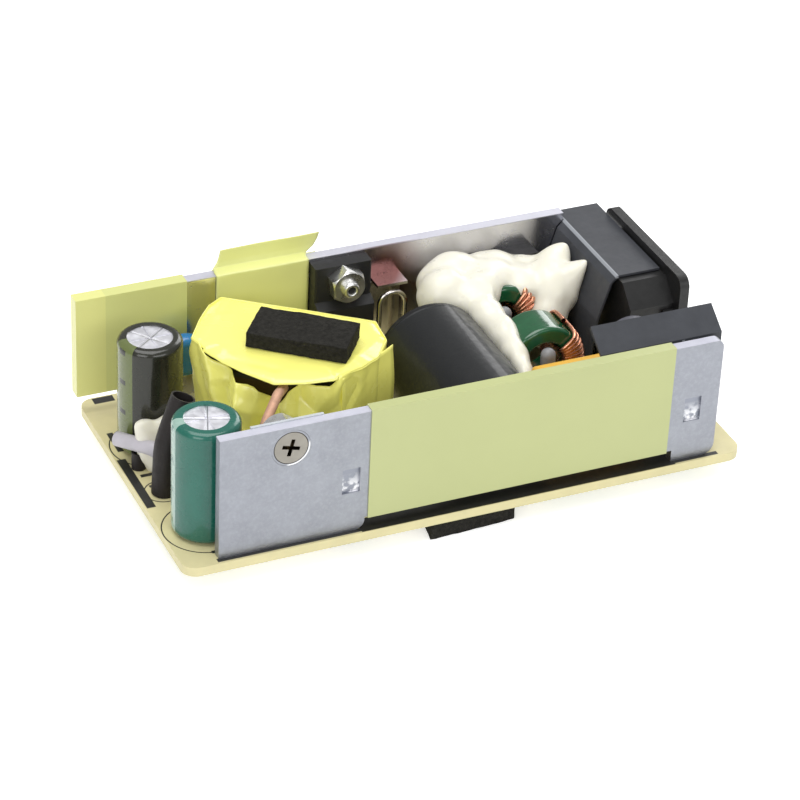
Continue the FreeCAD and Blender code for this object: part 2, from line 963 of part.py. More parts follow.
def upright_capacitor(name, x, y, radius, top, corner, vent, pitch):
    can, sleeve = can_capacitor(name, radius, f"({top} - stand_gap)", corner, vent)
    keep(f"{name}_can", place(can, x, y, "stand_gap"))
    keep(f"{name}_sleeve", place(sleeve, x, y, "stand_gap"))
    for index, side in enumerate("-+"):
        lead_x = f"({x} {side} {pitch} / 2)"
        WIRES.append(round_lead(f"{name}_lead_{index}", lead_x, y, "stand_gap + sleeve_wall", "lead_wire"))


def bulk_capacitor():
    """Lies along the board, vent end to the front, leads bent down at the far end."""
    length = "(bulk_far - bulk_near)"
    can, sleeve = can_capacitor("bulk_capacitor", "bulk_radius", length, "bulk_corner", "bulk_vent")
    for node, item in (("bulk_capacitor_can", can), ("bulk_capacitor_sleeve", sleeve)):
        item.Placement = Placement(Vector(), Rotation(ACROSS, 90))
        keep(node, place(item, "bulk_x", "bulk_far", "bulk_height"))
    leads = []
    for index, side in enumerate("-+"):
        x = f"(bulk_x {side} bulk_pitch / 2)"
        y = "(bulk_far + bulk_lead_bend)"
        start = point(x, "bulk_far - sleeve_wall", "bulk_height")
        corner, foot = point(x, y, "bulk_height"), point(x, y, "-board_thickness")
        wire = pipe([start, corner, foot], number("lead_wire / 2"), number("lead_wire"))
        leads.append(feature(f"bulk_lead_{index}", wire))
        lead_hole(x, y, "lead_wire")
    WIRES.extend(leads)


# Disc parts, film capacitor and other boxes
def disc_part(name, x, y, z, radius, thick):
    """A coated disc that stands across the board on two wires."""
    disc = rounded(
        name + "_round",
        rod(name + "_disc", x, f"{y} - {thick} / 2", z, radius, thick, "y"),
        f"0.4 * {thick}",
        lambda edge: edge.Closed,
    )
    keep(name, disc)
    leads = []
    for index, side in enumerate("-+"):
        lead_x = f"({x} {side} disc_pitch / 2)"
        inner = "(disc_pitch / 2 - disc_lead / 2)"
        reach = f"({z} - sqrt({radius} * {radius} - {inner} * {inner}))"
        leads.append(round_lead(f"{name}_lead_{index}", lead_x, y, reach, "disc_lead"))
    WIRES.extend(leads)


def film_capacitor():
    case = block(
        "film_case",
        ("film_start", "film_start + film_length"),
        ("film_front", "film_front + film_wide"),
        ("0", "film_height"),
    )
    keep("film_capacitor", rounded("film_round", case, "film_edge", lambda edge: True))
    middle, row = "(film_start + film_length / 2)", "(film_front + film_wide / 2)"
    for index, side in enumerate("-+"):
        lead_x = f"({middle} {side} film_pitch / 2)"
        WIRES.append(round_lead(f"film_lead_{index}", lead_x, row, "0", "lead_wire"))


def fuse_box():
    case = block(
        "fuse_case",
        ("fuse_x - fuse_length / 2", "fuse_x + fuse_length / 2"),
        ("fuse_y - fuse_width / 2", "fuse_y + fuse_width / 2"),
        ("0", "fuse_height"),
    )
    keep("fuse", rounded("fuse_round", case, "film_edge", lambda edge: True))
    leads = [
        round_lead(f"fuse_lead_{index}", f"(fuse_x {side} fuse_pitch / 2)", "fuse_y", "0", "lead_wire")
        for index, side in enumerate("-+")
    ]
    WIRES.extend(leads)


def bridge_rectifier():
    case = block(
        "bridge_case",
        ("bridge_start", "bridge_start + bridge_length"),
        ("rear_face - bridge_thick", "rear_face"),
        ("bridge_bottom", "bridge_top"),
    )
    keep("bridge_rectifier", case)
    middle = "(bridge_start + bridge_length / 2)"
    leads = []
    for index in range(4):
        x = f"({middle} + {index - 1.5} * bridge_pitch)"
        y = "(rear_face - bridge_thick / 2)"
        label = f"bridge_lead_{index}"
        leads.append(flat_lead(label, x, y, "bridge_bottom", "bridge_lead", "package_lead_thick"))
    FLATS.extend(leads)


def chip(name, middle, length, pins):
    """A dual row package: a moulded block with bent pins in two rows."""
    body = block(
        name + "_block",
        (f"{middle} - {length} / 2", f"{middle} + {length} / 2"),
        ("chip_y - chip_width / 2", "chip_y + chip_width / 2"),
        ("chip_low", "chip_top"),
    )
    keep(name, body)
    bent_pins = []
    for column in range(pins):
        x = f"({middle} + {column - (pins - 1) / 2} * chip_pitch)"
        for side in "-+":
            y = f"(chip_y {side} chip_row / 2)"
            edge = f"(chip_y {side} chip_width / 2)"
            outer = f"{y} {side} chip_pin_thick / 2"
            inner = f"{y} - {side}1 * chip_pin_thick / 2"
            span = (outer, edge) if side == "-" else (edge, outer)
            slab = (outer, inner) if side == "-" else (inner, outer)
            label = f"{name}_{column}_{'front' if side == '-' else 'back'}"
            width = (f"{x} - chip_pin_wide / 2", f"{x} + chip_pin_wide / 2")
            low, high = "chip_top - 2 * chip_pin_wide", "chip_top - 1.4 * chip_pin_wide"
            arm = block(label + "_arm", width, span, (low, high))
            leg = block(label + "_leg", width, slab, ("-board_thickness", high))
            lead_hole(x, y, "chip_pin_wide + chip_pin_thick / 2")
            bent_pins.append(fuse(label, arm, leg))
    CHIP_PINS.extend(bent_pins)


# Chokes
def turn_of_wire(radius_in, radius_out, depth, wire):
    """One turn around the ring's section, in the plane of x and y, square with round corners."""
    half = wire / 2
    corners = [
        Vector(radius_in - half, -half, 0),
        Vector(radius_out + half, -half, 0),
        Vector(radius_out + half, depth + half, 0),
        Vector(radius_in - half, depth + half, 0),
    ]
    edges = []
    for index, corner in enumerate(corners):
        back = (corners[index - 1] - corner).normalize()
        ahead = (corners[(index + 1) % 4] - corner).normalize()
        start, end = corner + back * wire, corner + ahead * wire
        middle = corner + (back + ahead) * wire * (1 - math.sqrt(0.5))
        edges.append(Part.Arc(start, middle, end).toShape())
        after = corners[(index + 1) % 4]
        edges.append(Part.makeLine(end, after - ahead * wire))
    path = Part.Wire(Part.__sortEdges__(edges))
    start = Vector((radius_in + radius_out) / 2, -half, 0)
    section = Part.Wire(Part.makeCircle(half, start, ACROSS))
    return path, section


def choke(name, x, y, sides):
    """A ring of ferrite that stands across the board, its windings and a base with a divider."""
    ring = cut(
        name + "_ring",
        rod(name + "_disc", x, y, "ring_height", "ring_radius", "ring_depth", "y"),
        rod(name + "_eye", x, f"{y} - 1", "ring_height", "ring_hole", "ring_depth + 2", "y"),
    )
    keep(f"{name}_core", rounded(name + "_core", ring, "ring_edge", lambda edge: edge.Closed))
    wire = number("coil_wire")
    gap = number("coil_gap")
    path, section = turn_of_wire(
        number("ring_hole") - gap, number("ring_radius") + gap, number("ring_depth") + 2 * gap, wire
    )
    loop = path.makePipeShell([section], True, False)
    centre = point(x, f"{y} - coil_gap", "ring_height")
    step = number("coil_step")
    turns = []
    for side in sides:
        for index in range(-3, 4):
            angle = side + (index * step + number("coil_middle")) * (1 if side == 0 else -1)
            single = loop.copy()
            single.rotate(Vector(), BACK, angle)
            single.translate(centre)
            turns.append(single)
    pins = []
    for across_side in "-+":
        for back_side in "-+":
            pin_x = f"({x} {across_side} choke_pitch_x / 2)"
            pin_y = f"({y} + ring_depth / 2 {back_side} choke_pitch_y / 2)"
            pins.append((pin_x, pin_y))
            lead_hole(pin_x, pin_y, "choke_pin")
    radius, length = number("choke_pin / 2"), number("board_thickness + choke_pin_reach")
    posts = [Part.makeCylinder(radius, length, point(px, py, "-board_thickness")) for px, py in pins]
    coil = Part.makeCompound(turns)
    posts = [post.cut(coil) for post in posts]
    keep(f"{name}_winding", feature(name + "_coil", Part.makeCompound(turns)))
    WIRES.append(feature(name + "_posts", Part.makeCompound(posts)))
    toe = f"({y} - base_toe)"
    plate = block(
        name + "_plate",
        (f"{x} - base_wide / 2", f"{x} + base_wide / 2"),
        (toe, f"{y} + ring_depth"),
        ("0", "base_height"),
    )
    at = (x, f"{y} - divider_gap", "ring_height")
    saddle = rod(name + "_saddle", *at, "ring_radius", "ring_depth + 2", "y")
    post_x = f"({x} - divider_shift)"
    post_y = f"({y} - divider_gap - divider_radius)"
    post = rod(name + "_post", post_x, post_y, "0", "divider_radius", "divider_top - divider_radius")
    dome = doc.addObject("Part::Sphere", name + "_dome")
    bind(dome, Radius="divider_radius")
    place(dome, post_x, post_y, "divider_top - divider_radius")
    keep(f"{name}_base", cut(name + "_base", fuse(name + "_stand", plate, post, dome), saddle))


# Transformer, in its own frame: origin under its middle on the board, before its turn
WRAP_OUTLINE = [
    ("-14.6", "-5.7"),
    ("-10.7", "-8.9"),
    ("2.0", "-13.9"),
    ("7.1", "-11.8"),
    ("12.9", "-7.8"),
    ("15.3", "-1.9"),
    ("15.4", "3.5"),
    ("12.1", "8.6"),
    ("-13.6", "8.6"),
]


def seat(node, item):
    """Onto the board at the transformer's place and turn."""
    turn(item, "transformer_turn")
    keep(node, place(item, "transformer_x", "transformer_y", "0"))


def span(half_low, half_high=None):
    return (f"-({half_low})", half_high or half_low)


WINDING_HALF = "(core_length / 2 - core_side - winding_gap)"
RAIL_HALF = "(core_length / 2 - rail_inset)"
PIN_PITCH = f"(({RAIL_HALF} - pin_inset) / 2)"


def transformer_core():
    half = "core_length / 2"
    outer = block("core_outer", span(half), span("core_depth / 2"), ("core_bottom", "core_top"))
    windows = []
    for name, low, high in (
        ("left", f"-{half} + core_side", "-core_leg / 2"),
        ("right", "core_leg / 2", f"{half} - core_side"),
    ):
        z = ("core_bottom + core_yoke", "core_top - core_yoke")
        windows.append(block(f"core_window_{name}", (low, high), span("core_depth"), z))
    seat("transformer_core", cut("core", outer, fuse("core_windows", *windows)))


def transformer_bobbin():
    low, high = "(core_bottom + core_yoke + bobbin_gap)", "(core_top - core_yoke - bobbin_gap)"
    hole_x, hole_y = "(core_leg / 2 + bobbin_gap)", "(core_depth / 2 + bobbin_gap)"
    wide, deep = span(WINDING_HALF), span("winding_depth / 2")
    pieces = [
        block("bobbin_tube", span(f"{hole_x} + bobbin_wall"), span(f"{hole_y} + bobbin_wall"), (low, high)),
        block("bobbin_low", wide, deep, (low, f"{low} + bobbin_wall")),
        block("bobbin_high", wide, deep, (f"{high} - bobbin_wall", high)),
    ]
    rail_in, rail_out = "(winding_depth / 2 - rail_depth)", "(winding_depth / 2)"
    for side, y in (("front", (f"-{rail_out}", f"-{rail_in}")), ("back", (rail_in, rail_out))):
        pieces.append(block(f"bobbin_rail_{side}", span(RAIL_HALF), y, ("wrap_bottom", low)))
    hole = block("bobbin_hole", span(hole_x), span(hole_y), (f"{low} - 1", f"{high} + 1"))
    seat("transformer_bobbin", cut("bobbin", fuse("bobbin_solid", *pieces), hole))


def transformer_winding():
    low = "(core_bottom + core_yoke + bobbin_gap + bobbin_wall)"
    high = "(core_top - core_yoke - bobbin_gap - bobbin_wall)"
    inner_x = "core_leg / 2 + bobbin_gap + bobbin_wall"
    inner_y = "core_depth / 2 + bobbin_gap + bobbin_wall"
    slack = "bobbin_gap"
    wide, deep = span(f"{WINDING_HALF} - {slack}"), span(f"winding_depth / 2 - {slack}")
    outer = block("coil_outer", wide, deep, (low, high))
    soft = rounded("coil_round", outer, "winding_corner", lambda edge: runs_along(edge, UP))
    hole = block("coil_hole", span(inner_x), span(inner_y), (f"{low} - 1", f"{high} + 1"))
    seat("transformer_winding", cut("coil", soft, hole))


def transformer_pins():
    """Pins under both rails. Their places on the board follow the transformer's turn."""
    pins = []
    for index in range(-2, 3):
        for side in "-+":
            u = f"({index} * {PIN_PITCH})"
            v = f"({side}1 * (winding_depth / 2 - rail_depth / 2))"
            name = f"transformer_pin_{index + 2}_{'front' if side == '-' else 'back'}"
            pins.append(rod(name, u, v, "-board_thickness", "pin_wire / 2", "board_thickness + wrap_bottom"))
            x = f"(transformer_x + {u} * cos(transformer_turn) - {v} * sin(transformer_turn))"
            y = f"(transformer_y + {u} * sin(transformer_turn) + {v} * cos(transformer_turn))"
            lead_hole(x, y, "pin_wire")
    seat("transformer_pins", group("transformer_pin_group", *pins))


def transformer_tape():
    """Tape round the whole transformer, open below, with a slit where it is torn at the front."""
    outline = doc.addObject("Sketcher::SketchObject", "wrap_outline")
    draw(outline, WRAP_OUTLINE)
    inset = doc.addObject("Part::Offset2D", "wrap_inset")
    inset.Source = outline
    inset.Join = 2
    bind(inset, Value="-wrap_film")
    outer = raised("wrap_outer", outline, "wrap_bottom", "wrap_top")
    inner = raised("wrap_inner", inset, "wrap_bottom - 1", "wrap_top - wrap_film")
    slit = upright(
        "wrap_slit",
        [
            ("slit_left", "slit_high - 0.3"),
            ("2.4", "slit_low"),
            ("slit_right", "slit_high - 0.3"),
            ("slit_right", "slit_high"),
            ("slit_left", "slit_high"),
        ],
        "-16",
        "16 - winding_depth / 2",
    )
    seat("transformer_tape", cut("wrap", outer, fuse("wrap_space", inner, slit)))


def raised(name, outline, low, high):
    item = doc.addObject("Part::Extrusion", name)
    item.Base = outline
    item.DirMode = "Custom"
    item.Dir = UP
    item.Solid = True
    bind(item, LengthFwd=f"({high}) - ({low})")
    return place(item, "0", "0", low)


def transformer_pad():
    height = ("wrap_top", "wrap_top + block_height")
    foam = block("pad_block", span("block_length / 2"), span("block_width / 2"), height)
    foam = rounded("pad_block_round", foam, "0.3", lambda edge: runs_along(edge, UP))
    turn(foam, "block_turn")
    keep("transformer_pad", place(foam, "block_x", "block_y", "0"))


def transformer_lead():
    """Bare wire out of the torn slit, over and down behind the front heatsink."""
    points = [
        point("transformer_x - 4.6", "transformer_y - 9.3", "wrap_top - 3.4"),
        point("transformer_x - 7.4", "transformer_y - 13.6", "wrap_top - 1.6"),
        point("transformer_x - 11.3", "transformer_y - 18.4", "wrap_top - 3.0"),
        point("transformer_x - 13.8", "transformer_y - 20.5", "wrap_top - 8.0"),
        point("transformer_x - 13.8", "transformer_y - 20.5", "-board_thickness"),
    ]
    keep("transformer_lead", feature("drain", pipe(points, number("drain_wire / 2"), 2.4)))
    lead_hole("(transformer_x - 13.8)", "(transformer_y - 20.5)", "drain_wire")


# Sleeves and cut wires at the left end
TALL_BEND = 14.0
GREY_BEND = 2.2


def tall_route():
    return [point("4.2", "21.3", "0.1"), point("4.6", "21.3", "9"), point("7.6", "21.7", "17")]


def grey_route():
    return [point("0.3", "32.4", "4.2"), point("4.6", "25.2", "5.6"), point("7.3", "25", "0.7")]


def left_sleeves():
    tall = tall_route()
    keep("tall_sleeve", feature("tall", tube(tall, number("tall_radius"), number("tall_wall"), TALL_BEND)))
    foot = tall[0]
    low = Vector(foot.x, foot.y, -number("board_thickness"))
    wire = pipe([low, foot + UP * number("tall_wire_top")], number("cut_wire / 2"), 1)
    lead_hole("4.2", "21.3", "cut_wire")
    grey = grey_route()
    keep("grey_sleeve", feature("grey", tube(grey, number("grey_radius"), number("grey_wall"), GREY_BEND)))
    short = point("short_x", "short_y", "0")
    ring = Part.makeCylinder(number("short_radius"), number("short_top"), short)
    bore = Part.makeCylinder(number("short_radius - short_wall"), number("short_top"), short)
    keep("short_tube", feature("short", ring.cut(bore)))
    length = number("short_top - wire_drop + board_thickness")
    short_wire = Part.makeCylinder(number("cut_wire / 2"), length, short - UP * number("board_thickness"))
    lead_hole("short_x", "short_y", "cut_wire")
    keep("cut_wires", feature("wires", Part.makeCompound([wire, short_wire])))


# Mains inlet and grey sheets
def inlet_outline(half, low, high, chamfer):
    """A section in y and z with its two upper corners cut off."""
    left, right = f"inlet_y - {half}", f"inlet_y + {half}"
    return [
        (left, low),
        (right, low),
        (right, f"{high} - {chamfer}"),
        (f"{right} - {chamfer}", high),
        (f"{left} + {chamfer}", high),
        (left, f"{high} - {chamfer}"),
    ]


def inlet():
    half_wide, half_tall = "flange_wide / 2", "socket_tall / 2"
    flange = block(
        "flange_plate",
        ("flange_left", "flange_left + flange_thick"),
        (f"inlet_y - {half_wide}", f"inlet_y + {half_wide}"),
        ("flange_low", "flange_top"),
    )
    flange = rounded("flange_round", flange, "flange_corner", lambda edge: runs_along(edge, ACROSS))
    body = across(
        "inlet_body",
        inlet_outline("inlet_wide / 2", "inlet_low", "inlet_top", "inlet_chamfer"),
        "inlet_back",
        "flange_left - inlet_back",
    )
    ribs = []
    for side, low, high in (
        ("front", "inlet_y - inlet_wide / 2 - inlet_rib", "inlet_y - inlet_wide / 2"),
        ("back", "inlet_y + inlet_wide / 2", "inlet_y + inlet_wide / 2 + inlet_rib"),
    ):
        ribs.append(block(
            f"inlet_rib_{side}",
            ("flange_left - 2 * inlet_rib", "flange_left"),
            (low, high),
            ("inlet_low + 2 * inlet_rib", "inlet_top - inlet_chamfer - inlet_rib"),
        ))
    low, high = f"socket_height - {half_tall}", f"socket_height + {half_tall}"
    socket = across(
        "socket",
        inlet_outline("socket_wide / 2", low, high, "socket_chamfer"),
        "inlet_back + inlet_back_wall",
        "flange_left + flange_thick - inlet_back",
    )
    pins, holes = [], []
    for name, y, z in (
        ("live", "(inlet_y - pin_spread)", "(socket_height - pin_low)"),
        ("neutral", "(inlet_y + pin_spread)", "(socket_height - pin_low)"),
        ("earth", "inlet_y", "(socket_height + pin_high)"),
    ):
        tail_right = "(inlet_back - 0.1)"
        length = "flange_left + flange_thick - pin_sink - inlet_back + tail_thick"
        holes.append(rod(f"{name}_hole", "inlet_back - 1", y, z, "pin_radius", "inlet_back_wall + 2", "x"))
        pin = rod(f"{name}_pin", f"{tail_right} - tail_thick / 2", y, z, "pin_radius", length, "x")
        tail = block(
            f"{name}_tail",
            (f"{tail_right} - tail_thick", tail_right),
            (f"{y} - tail_wide / 2", f"{y} + tail_wide / 2"),
            ("-board_thickness", z),
        )
        diagonal = "sqrt(tail_wide * tail_wide + tail_thick * tail_thick)"
        lead_hole(f"({tail_right} - tail_thick / 2)", y, diagonal)
        pins.append(fuse(f"{name}_contact", pin, tail))
    housing = cut("inlet_cut", fuse("inlet_solid", flange, body, *ribs), fuse("inlet_spaces", socket, *holes))
    keep("inlet_housing", housing)
    keep("inlet_contacts", group("contact_group", *pins))


def insulation_sheet_inlet():
    """A card folded over the inlet: a top panel and a panel that hangs down and leans away."""
    top, film = "(inlet_top + cover_gap)", "sheet_film"
    fold = "cover_fold"
    hang = [
        (fold, f"{top} + {film}"),
        (f"{fold} - 1.2", f"{top} - 0.9"),
        (f"{fold} - 3.2", "12.5"),
        (f"{fold} - 4.0", "5.5"),
        (f"{fold} - 4.2", "0.3"),
    ]
    outline = hang + [(f"{x} + {film}", z) for x, z in reversed(hang[1:])] + [(f"{fold} + {film}", top)]
    panel = upright("cover_panel", outline, "cover_front", "cover_rear - cover_front")
    reach = ("cover_front", "cover_rear_top")
    lid = block("cover_lid", (fold, "cover_right"), reach, (top, f"{top} + {film}"))
    keep("insulation_sheet_inlet", fuse("cover", panel, lid))


def insulation_sheet_front():
    """A card behind the front heatsink's right end, its upper part leaning back."""
    front = f"({FRONT_BACK} + leg_thickness + guard_gap)"
    back = f"({front} + guard_film)"
    card = across(
        "guard",
        [
            (front, "guard_low"),
            (back, "guard_low"),
            (back, "heatsink_height - guard_film"),
            (f"{back} + guard_reach", "heatsink_height + guard_rise - 2 * guard_film"),
            (f"{back} + guard_reach - guard_film", "heatsink_height + guard_rise"),
            (front, "heatsink_height"),
        ],
        "guard_start",
        "guard_end - guard_start",
    )
    keep("insulation_sheet_front", card)


def foam_pad():
    pad = padded(
        "foam",
        "XY_Plane",
        [("0", "0"), ("foam_length", "0"), ("foam_length", "foam_width"), ("foam_skew", "foam_width")],
        "foam_height",
    )
    turn(pad, "foam_turn")
    keep("foam_pad", place(pad, "foam_x", "foam_y", "-board_thickness - foam_height"))


# White silicone: thick pours that settle round what they were squeezed over
def pour(name, points, low, high, edge):
    """A poured lump from above: an outline that rises from low to high, its top edges round."""
    body = padded(name, "XY_Plane", points, f"({high}) - ({low})")
    top = number(f"({high}) - ({low})")
    body = soften(
        body, name + "_top", edge, lambda rim: all(abs(end.Point.z - top) < 1e-6 for end in rim.Vertexes)
    )
    return place(body, "0", "0", low)


def silicone_main():
    """Over the rear choke, with a lobe and a strand that run down beside the bulk capacitor."""
    rear = "rear_face - 0.2"
    blob = pour(
        "silicone_blob",
        [
            ("rear_choke_x - 11.2", "rear_choke_y + 5.2"),
            ("rear_choke_x - 8.4", rear),
            ("rear_choke_x + 9.6", rear),
            ("rear_choke_x + 12.3", "rear_choke_y + 8.4"),
            ("rear_choke_x + 12.3", "rear_choke_y + 0.6"),
            ("rear_choke_x + 9.0", "rear_choke_y - 3.2"),
            ("rear_choke_x + 5.0", "rear_choke_y + 1.8"),
            ("rear_choke_x - 4.0", "rear_choke_y + 2.2"),
            ("rear_choke_x - 6.0", "rear_choke_y - 1.2"),
            ("rear_choke_x - 10.6", "rear_choke_y + 0.2"),
        ],
        "ring_height - 4.0",
        "ring_height + ring_radius + 2.4",
        "1.6",
    )
    strand = pour(
        "silicone_strand",
        [
            ("bulk_x + 5.4", "rear_choke_y + 1.4"),
            ("bulk_x + 9.6", "rear_choke_y + 1.4"),
            ("bulk_x + 11.6", "front_choke_y + 8.0"),
            ("bulk_x + 11.2", "front_choke_y + 0.5"),
            ("bulk_x + 9.8", "front_choke_y - 5.0"),
            ("bulk_x + 8.0", "front_choke_y - 5.2"),
            ("bulk_x + 6.6", "front_choke_y + 3.0"),
        ],
        "bulk_height + 2.0",
        "bulk_height + 8.4",
        "0.9",
    )
    spaces = [
        rod("around_rear_choke", "rear_choke_x", "rear_choke_y - 2 * coil_wire", "ring_height",
            "ring_radius + coil_wire + 2 * coil_gap", "ring_depth + 4 * coil_wire", "y"),
        rod("around_front_choke", "front_choke_x", "front_choke_y", "ring_height",
            "ring_radius", "ring_depth", "y"),
        rod("around_bulk", "bulk_x", "bulk_near", "bulk_height", "bulk_radius", "bulk_far - bulk_near", "y"),
        block("around_bridge", ("bridge_start", "bridge_start + bridge_length"),
              ("rear_face - bridge_thick", "rear_face + 1"), ("-1", "bridge_top")),
    ]
    solid = fuse("silicone_solid", blob, strand)
    keep("silicone_main", cut("silicone_cut", solid, fuse("silicone_spaces", *spaces)))


def silicone_small():
    """A dab at the foot of the cut sleeves."""
    dab = pour(
        "dab",
        [
            ("short_x + 0.6", "short_y - 3.6"),
            ("short_x + 2.6", "short_y - 6.2"),
            ("short_x + 7.2", "short_y - 6.6"),
            ("short_x + 8.6", "short_y - 2.2"),
            ("short_x + 6.6", "short_y + 1.4"),
            ("short_x + 1.2", "short_y + 1.6"),
        ],
        "0",
        "5.4",
        "1.1",
    )
    spaces = [
        rod("around_dark", "dark_x", "dark_y", "0", "dark_radius", "upright_top"),
        feature("around_tall", pipe(tall_route(), number("tall_radius"), TALL_BEND)),
        feature("around_grey", pipe(grey_route(), number("grey_radius"), GREY_BEND)),
        rod("around_short", "short_x", "short_y", "-1", "short_radius", "short_top + 1"),
    ]
    keep("silicone_small", cut("dab_cut", dab, fuse("dab_spaces", *spaces)))


def shared_leads():
    """Plain leads of many parts, in three groups of separate solids."""
    keep("component_leads", group("wire_leads", *WIRES))
    keep("package_leads", group("flat_leads", *FLATS))
    keep("chip_pins", group("chip_pin_group", *CHIP_PINS))


# Circuit board and solder, made last because every lead has noted its hole
def circuit_board():
    outline = [("0", "0"), ("board_length", "0"), ("board_length", "board_width"), ("0", "board_width")]
    board = padded("board", "XY_Plane", outline, "board_thickness", reverse=True)
    board = soften(board, "board_corners", "board_corner", lambda edge: runs_along(edge, UP))
    drills = []
    for index, (x, y, wide) in enumerate(HOLES):
        radius = f"({wide} + hole_slack) / 2"
        drills.append(rod(f"drill_{index}", x, y, "-board_thickness - 1", radius, "board_thickness + 2"))
    keep("circuit_board", cut("drilled_board", board, group("drills", *drills)))


def solder_joints():
    """Under each lead a cone of solder and a short stub, each joint a solid of its own."""
    joints = []
    for index, (x, y, wide) in enumerate(HOLES):
        rim = f"({wide} + hole_slack) / 2 + joint_rim"
        foot = "-board_thickness - joint_height"
        fillet = cone(f"joint_{index}_fillet", x, y, foot, f"{wide} / 2", rim, "joint_height")
        at = (x, y, "-board_thickness - stub_height")
        stub = rod(f"joint_{index}_stub", *at, f"{wide} / 2", "stub_height")
        joints.append(fuse(f"joint_{index}", fillet, stub))
    keep("solder_joints", group("joints", *joints))


def build():
    heatsink_front()
    heatsink_legs()
    heatsink_rear()
    tape_front()
    tape_rear_left()
    tape_rear_middle()
    fasteners()
    power_transistor()
    rectifier()
    bracket_and_link()
    bulk_capacitor()
    for colour in ("dark", "green"):
        form = (f"{colour}_x", f"{colour}_y", f"{colour}_radius", "upright_top", "upright_corner")
        upright_capacitor(f"capacitor_{colour}", *form, f"{colour}_vent", "upright_pitch")
    form = ("aux_x", "aux_y", "aux_radius", "aux_top", "aux_corner")
    upright_capacitor("capacitor_small", *form, "aux_vent", "aux_pitch")
    disc_part("blue_disc_capacitor", "blue_x", "blue_y", "blue_height", "blue_radius", "blue_thick")
    disc_part("varistor", "varistor_x", "varistor_y", "varistor_height", "varistor_radius", "varistor_thick")
    film_capacitor()
    fuse_box()
    bridge_rectifier()
    chip("control_chip", "chip_x", "chip_length", 4)
    chip("optocoupler", "opto_x", "opto_length", 2)
    choke("choke_front", "front_choke_x", "front_choke_y", (0,))
    choke("choke_rear", "rear_choke_x", "rear_choke_y", (0, 180))
    transformer_core()
    transformer_bobbin()
    transformer_winding()
    transformer_pins()
    transformer_tape()
    transformer_pad()
    transformer_lead()
    left_sleeves()
    inlet()
    insulation_sheet_inlet()
    insulation_sheet_front()
    foam_pad()
    silicone_main()
    silicone_small()
    shared_leads()
    circuit_board()
    solder_joints()


def write():
    doc.recompute()
    for item in doc.Objects:
        if {"Invalid", "Error"} & set(item.State):
            raise RuntimeError(f"{item.Label} failed: {item.State}")
    for node, item in PARTS.items():
        if item.Shape.isNull() or not item.Shape.isValid() or not item.Shape.Solids:
            raise RuntimeError(f"{node} has no valid solid")
    os.makedirs("parts", exist_ok=True)
    for node, item in PARTS.items():
        item.Shape.exportStep(os.path.join("parts", node + ".step"))
    print(len(PARTS), "pieces,", len(HOLES), "leads")


build()
write()
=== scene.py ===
import math

import bmesh
import bpy
from mathutils import Matrix, Vector, noise


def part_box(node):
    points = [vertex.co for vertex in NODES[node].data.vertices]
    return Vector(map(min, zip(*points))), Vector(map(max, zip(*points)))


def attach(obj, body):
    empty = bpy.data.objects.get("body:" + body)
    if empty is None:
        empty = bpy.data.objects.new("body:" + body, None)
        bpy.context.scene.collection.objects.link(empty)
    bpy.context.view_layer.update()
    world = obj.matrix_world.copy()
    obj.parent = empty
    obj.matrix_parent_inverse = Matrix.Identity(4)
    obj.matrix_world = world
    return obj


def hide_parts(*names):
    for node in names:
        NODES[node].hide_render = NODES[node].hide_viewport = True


# Open frame power supply on a plain pale floor. Places are given in millimetres from the board's
# front left corner on its top face, as in the part's own source, and board() turns them into metres.

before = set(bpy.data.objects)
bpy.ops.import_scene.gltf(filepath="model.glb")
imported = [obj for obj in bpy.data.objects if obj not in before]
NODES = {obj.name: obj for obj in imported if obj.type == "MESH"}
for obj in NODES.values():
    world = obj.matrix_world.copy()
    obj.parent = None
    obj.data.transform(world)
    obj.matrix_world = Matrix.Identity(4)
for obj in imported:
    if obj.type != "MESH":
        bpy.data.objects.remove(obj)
MM = 0.001
BOARD_LOW, BOARD_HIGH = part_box("circuit_board")
CORNER = Vector((BOARD_LOW.x, BOARD_LOW.y, BOARD_HIGH.z))
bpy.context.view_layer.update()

# Places that materials and meshes share, in millimetres from the board's corner
DARK_CAN, GREEN_CAN = (6.9, 35.05), (7.0, 9.95)
DIMPLES_X = (27.7, 87.6)
DIMPLE_HALF, DIMPLE_LOW, DIMPLE_HIGH = 1.6, 7.1, 11.8
# Place and reach of a brownish painted reflection of the bracket on the rear sheet's inner face
BRACKET_REFLECTION, BRACKET_REFLECTION_REACH = (52.6, 47.1, 15.0), 8.5
CARD_FOLD_X = 86.1
DOUBLED_TAPE_X = 3.6
# Chokes: place of the axis along the board and of the front face, then what both share
FRONT_CHOKE, REAR_CHOKE = (70.4, 20.5), (69.2, 34.8)
CHOKE_AXIS_Z, CHOKE_HALF = 10.4, 3.5
CHOKE_HOLE, CHOKE_RIM = 3.6, 6.6
INK = (0.02, 0.02, 0.018)
# Bars printed on the board: from and to along it, from and to across it
BARS = [
    ((5.5, 93.0), (0.4, 1.3)),
    ((5.5, 93.0), (2.9, 3.6)),
    ((29.5, 85.0), (0.15, 3.6)),
    ((2.4, 6.0), (49.4, 51.15)),
    ((1.25, 2.3), (34.6, 40.4)),
    ((0.2, 1.7), (17.9, 32.4)),
    ((2.3, 4.6), (26.4, 27.2)),
    ((2.6, 4.2), (23.2, 23.9)),
]
# Rings printed on the board: centre and radius
RINGS = [(*GREEN_CAN, 6.9), (*DARK_CAN, 6.6), (4.2, 21.6, 3.0)]
RING_HALF = 0.11


def board(x, y, z):
    return CORNER + Vector((x, y, z)) * MM


def shade(red, green, blue):
    """Linear colour from screen values of 0 to 255."""
    return tuple((part / 255 / 12.92) if part < 11 else ((part / 255 + 0.055) / 1.055) ** 2.4
                 for part in (red, green, blue))


def scatter(point, scale, shift=0.0):
    """Smooth noise from -1 to 1 at a place, scale in waves per metre."""
    return noise.noise(point * scale + Vector((shift, shift * 0.7, -shift)))


